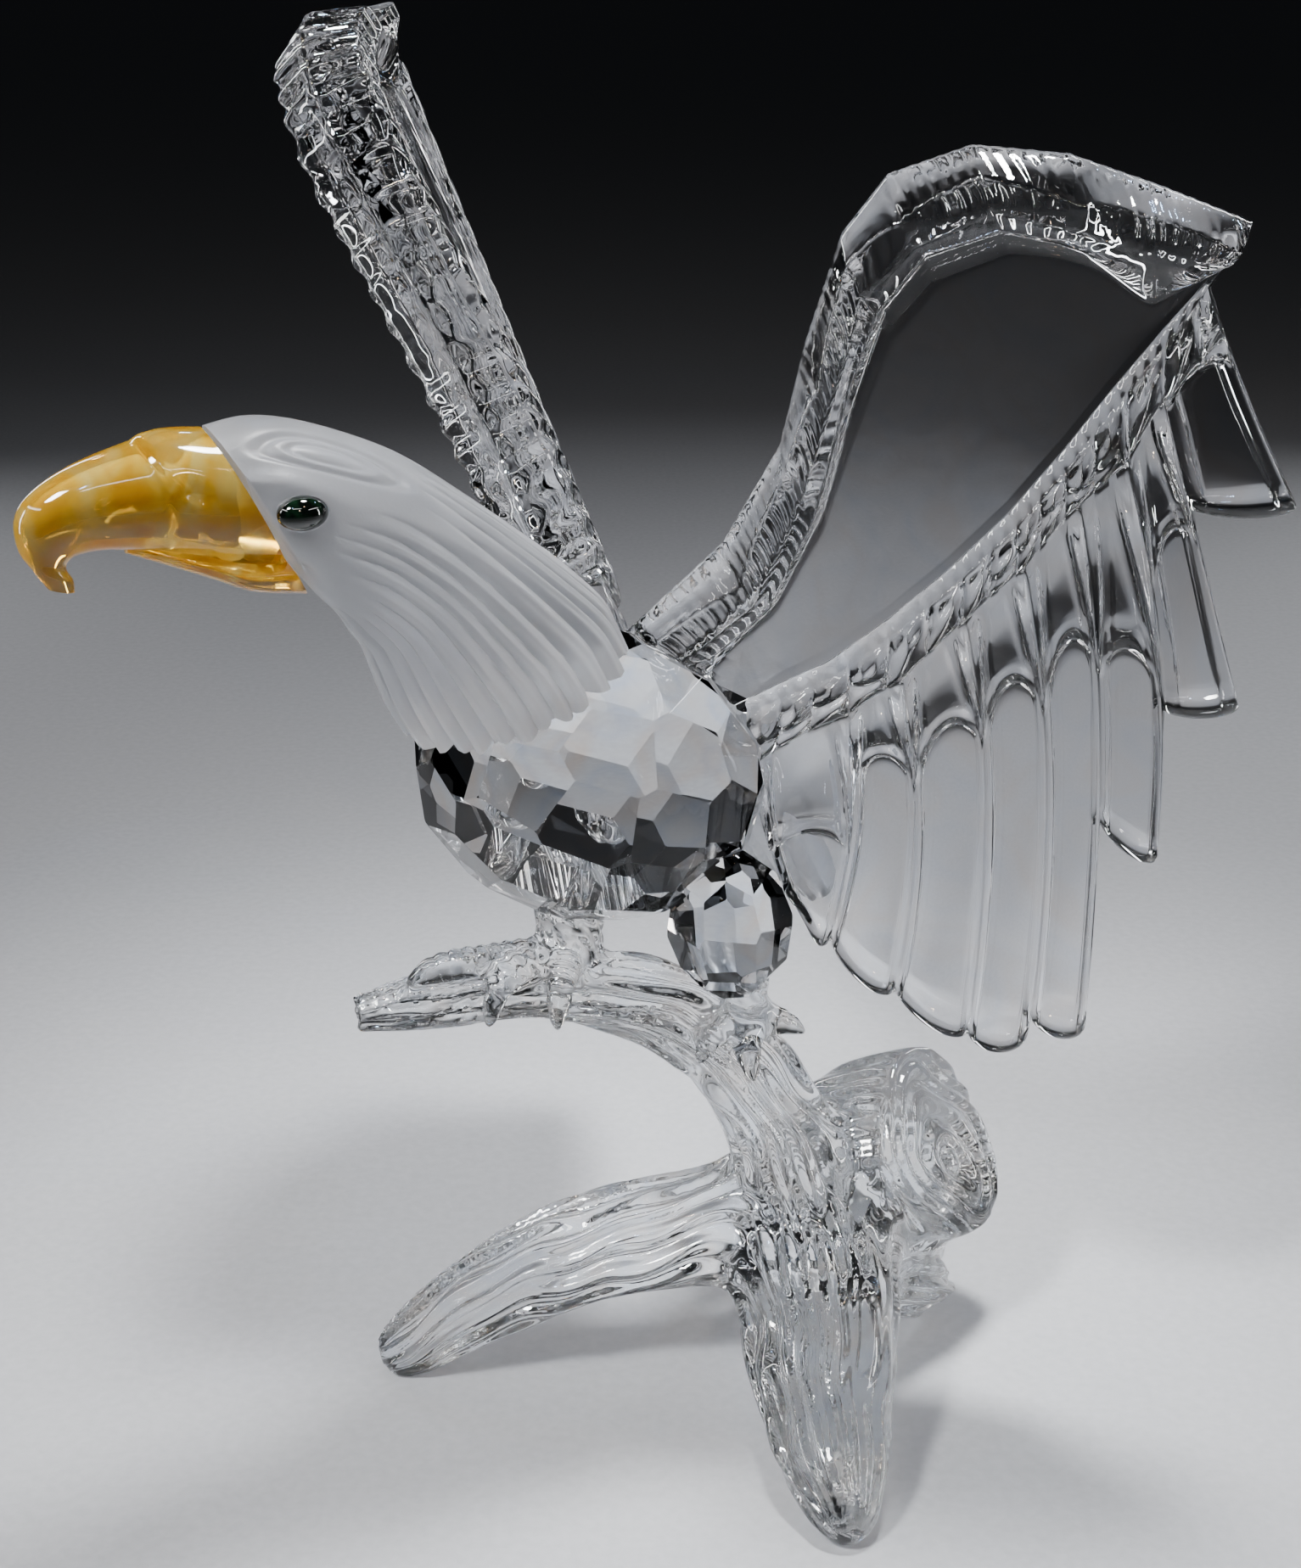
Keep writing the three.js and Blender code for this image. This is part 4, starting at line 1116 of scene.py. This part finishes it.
def joined_skin():
    """All limbs as one closed skin of even quads."""
    limbs = [limb_rings(**limb) for limb in BRANCH.values()]
    limbs += [limb_rings(path, radii, depth=0.0, round_tip=0.2, rows=50, around=28)
              for path, radii in TOES + LEGS]
    points, faces, start = [], [], 0
    for rings in limbs:
        limb_points, limb_faces = ring_solid(rings)
        points.append(limb_points)
        faces += [start + part for part in limb_faces]
        start += len(limb_points)
    return modified("branch_skin", to_mesh("limbs", np.concatenate(points), faces), [
        ("REMESH", dict(mode="VOXEL", voxel_size=BRANCH_VOXEL * MM)),
        ("SMOOTH", dict(factor=0.5, iterations=4)),
    ])


def read_skin(mesh):
    """The mesh's points as the drawing has them, in millimetres."""
    return vertex_array(mesh) / MM - carving_shift


def write_skin(mesh, points):
    """Puts the mesh's points where the drawing has them."""
    move_vertices(mesh, (points + carving_shift) * MM)


def relaxed(mesh, points, share, rounds):
    """The points drawn towards the mean of their neighbours, each by its own share, in rounds.
    This turns the sharp line where two limbs meet into a fillet."""
    ends = np.zeros(len(mesh.edges) * 2, int)
    mesh.edges.foreach_get("vertices", ends)
    one, other = np.concatenate([ends[0::2], ends[1::2]]), np.concatenate([ends[1::2], ends[0::2]])
    count = np.bincount(one, minlength=len(points)).astype(float)
    for _ in range(rounds):
        mean = np.stack([np.bincount(one, points[other, axis], len(points)) for axis in range(3)], -1)
        points = points + share[:, None] * (mean / count[:, None] - points)
    return points


JUNCTION = np.array([16.5, 1.0, 16.5])
JUNCTION_REACH = 20
JUNCTION_CORE = 9

branch_mesh = joined_skin()
skin = read_skin(branch_mesh)
near_junction = 0.7 * smoothstep(np.linalg.norm(skin - JUNCTION, axis=1), JUNCTION_REACH, JUNCTION_CORE)
write_skin(branch_mesh, relaxed(branch_mesh, skin, near_junction, 160))
print("branch skin has", len(branch_mesh.vertices), "points")


# %% Bark
BARK_SPACING = 2.4
BARK_RELIEF = 1.15
STUMP_RELIEF = 0.5
TOE_RELIEF = 0.45
LEG_RELIEF = 0.7


def nearest_on_limb(points, path, radii, samples=90):
    """For each point: share of the path, angle round it, distance along it and relative radius."""
    share = np.linspace(0, 1, samples)
    centre, ahead, side, upward = limb_axes(path, share)
    squared = ((points ** 2).sum(1)[:, None] - 2 * points @ centre.T + (centre ** 2).sum(1))
    best = squared.argmin(1)
    away = points - centre[best]
    along = np.einsum("ij,ij->i", away, ahead[best])
    x = np.einsum("ij,ij->i", away, side[best])
    y = np.einsum("ij,ij->i", away, upward[best])
    radius = limb_radius(radii, share)[best]
    run = running_length(centre)[best] + along
    return share[best], np.arctan2(y, x), run, np.hypot(x, y) / radius, along


def bark_groove(angle, run, radii, phase):
    """Grooves between rounded wavy ridges, at even spacing round the limb."""
    count = round(2 * np.pi * np.mean(radii) / BARK_SPACING)
    waves = (1.6 * np.sin(2 * np.pi * run / 24 + phase)
             + 0.7 * np.sin(2 * np.pi * run / 9.5 + 2 * angle + phase) + 0.06 * run)
    uneven = 0.10 * np.sin(2 * angle + phase) + 0.07 * np.sin(3 * angle - 2 * phase + run / 15)
    turn = count * (angle + uneven) + waves
    crease = 1 - np.abs(np.sin(turn / 2)) ** 0.8
    return 0.60 * (0.5 + 0.5 * np.cos(turn)) + 0.40 * crease + 0.06 * np.cos(2 * turn + run / 3.0)


def toe_rings(share, run):
    """Scales across a toe, that stop before its claw."""
    return (1 - np.abs(np.sin(np.pi * run / 1.25))) * (1 - smoothstep(share, 0.62, 0.75))


def sawn_rings(points):
    """Wavy growth rings on the stump's sawn face, how much of each point is on that face, and how
    near it is to the face's rounded rim."""
    path = BRANCH["stump"]["path"]
    centre, ahead, side, upward = (v[0] for v in limb_axes(path, np.array([1.0])))
    away = points - centre
    depth = away @ ahead
    x, y = away @ side, away @ upward
    far = np.hypot(x, y)
    eye_x, eye_y = x - 2.0, y + 1.5
    swirl = np.hypot(eye_x, eye_y)
    turn = np.arctan2(eye_y, eye_x)
    ring = swirl * (1 + 0.22 * np.sin(2 * turn + 0.8)) + 1.2 * np.sin(
        x / 2.2 + 0.5 + 0.8 * np.sin(y / 3)) * np.cos(y / 2.6)
    pattern = 1 - np.abs(np.sin(np.pi * ring / 2.1)) ** 0.8
    chord = np.array([7.9, -10.8]) / 13.4
    run = (x + 8.5) * chord[0] + (y - 1.2) * chord[1]
    beside = -(x + 8.5) * chord[1] + (y - 1.2) * chord[0] + 0.7 * np.sin(run / 3.0)
    smooth_groove = bell(beside, 0, 1.2) * smoothstep(run, 0, 1.5) * (1 - smoothstep(run, 11, 12.5))
    pattern = pattern * (1 - smooth_groove) + 1.1 * smooth_groove
    on_face = smoothstep(depth, -0.9, -0.2) * (1 - smoothstep(far, 9.6, 10.6))
    near_rim = bell(depth, -0.4, 2.6) * smoothstep(far, 7, 9)
    return pattern, on_face, near_rim


def bark_layers():
    """Every limb: path, radii, samples, how strongly, how far round and how far along it claims the
    points near its skin, and the depth and pattern of its relief, from share, angle and run."""
    for number, (name, limb) in enumerate(BRANCH.items()):
        radii, phase = limb["radii"], 1.7 * number
        yield (limb["path"], radii, 90, 1, 0.22, 3.0, STUMP_RELIEF if name == "stump" else BARK_RELIEF,
               lambda share, angle, run: bark_groove(angle, run, radii, phase))
    for path, radii in TOES:
        yield (path, radii, 60, 4, 0.25, 0.8, TOE_RELIEF, lambda share, angle, run: toe_rings(share, run))
    for path, radii in LEGS:
        yield (path, radii, 60, 2, 0.25, 1.0, LEG_RELIEF,
               lambda share, angle, run: bark_groove(angle + 0.25 * run, run, radii, 0.5))


def bark_depth(points, normals):
    """How deep each point of the skin sinks, in millimetres. Limbs share a point by how near its
    skin they lie, so grooves of neighbouring limbs flow into each other."""
    total = np.zeros(len(points))
    weights = np.full(len(points), 1e-9)
    for path, radii, samples, claim, round_it, along_it, relief, pattern in bark_layers():
        share, angle, run, relative, along = nearest_on_limb(points, path, radii, samples)
        weight = claim * np.exp(-((relative - 1) / round_it) ** 2) * np.exp(-(along / along_it) ** 2)
        total += weight * relief * pattern(share, angle, run)
        weights += weight
    rings, on_face, near_rim = sawn_rings(points)
    upper_side = 0.35 + 0.65 * smoothstep(normals[:, 2], -0.55, 0.05)
    bark = total / weights * upper_side * (1 - 0.85 * near_rim)
    return bark * (1 - on_face) + BARK_RELIEF * rings * on_face


skin = read_skin(branch_mesh)
skin = relaxed(branch_mesh, skin, 0.7 * sawn_rings(skin)[2], 16)
write_skin(branch_mesh, skin)
outwards = vertex_array(branch_mesh, normals=True)
skin = skin - bark_depth(skin, outwards)[:, None] * outwards
write_skin(branch_mesh, relaxed(branch_mesh, skin, np.full(len(skin), 0.5), 2))
print("bark carved, up to", BARK_RELIEF, "mm deep")

# %% Ground and branch
def ground_block():
    """A block whose top is the table."""
    reach = 200.0
    corners = np.array([[x, y, z] for z in (-reach, 0.0) for y in (-reach, reach) for x in (-reach, reach)])
    faces = np.array([[0, 1, 3, 2], [4, 6, 7, 5], [0, 4, 5, 1], [2, 3, 7, 6], [0, 2, 6, 4], [1, 5, 7, 3]])
    return to_mesh("ground", corners, [faces])


branch_mesh = carved("branch", branch_mesh,
                     cut=[ground_block(), grown_copy("body", JOINT_GAP), grown_copy("thigh_left", JOINT_GAP)])
show("branch_glass", branch_mesh, branch_crystal, "clear_crystal", "branch")

# %% [markdown]
# ## Body and thigh
# The large facets of the two cut stones are already true in the frame. A cutter then takes a small
# facet off every corner between them, and these are what makes a cut stone sparkle. A copy of the
# frame's mesh is merged, its coplanar triangles are dissolved into whole facets, and a bevel that
# works on the corners alone grinds the small ones.

# %% Cut stones
CORNER_FACETS = {"body": 1.5, "thigh_left": 0.9}
FACET_ANGLE = math.radians(0.5)


def recut(node, size):
    """The node's stone with every corner cut back, by that many millimetres along each edge."""
    return modified(f"{node}_cut", grown_copy(node, 0.0), [
        ("DECIMATE", dict(decimate_type="DISSOLVE", angle_limit=FACET_ANGLE)),
        ("BEVEL", dict(affect="VERTICES", segments=1, width=size * MM)),
    ])


for stone, corner_size in CORNER_FACETS.items():
    stone_mesh = recut(stone, corner_size)
    print(stone, "has", len(stone_mesh.polygons), "facets")
    show(f"{stone}_stone", stone_mesh, cut_crystal, "clear_crystal", stone, sharp=FACET_ANGLE)

# %% Sizes and finish
new_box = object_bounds()
for label, corners in (("CAD box", cad_box), ("visual box", new_box)):
    print(label, [[round(v / MM, 2) for v in corner] for corner in corners])
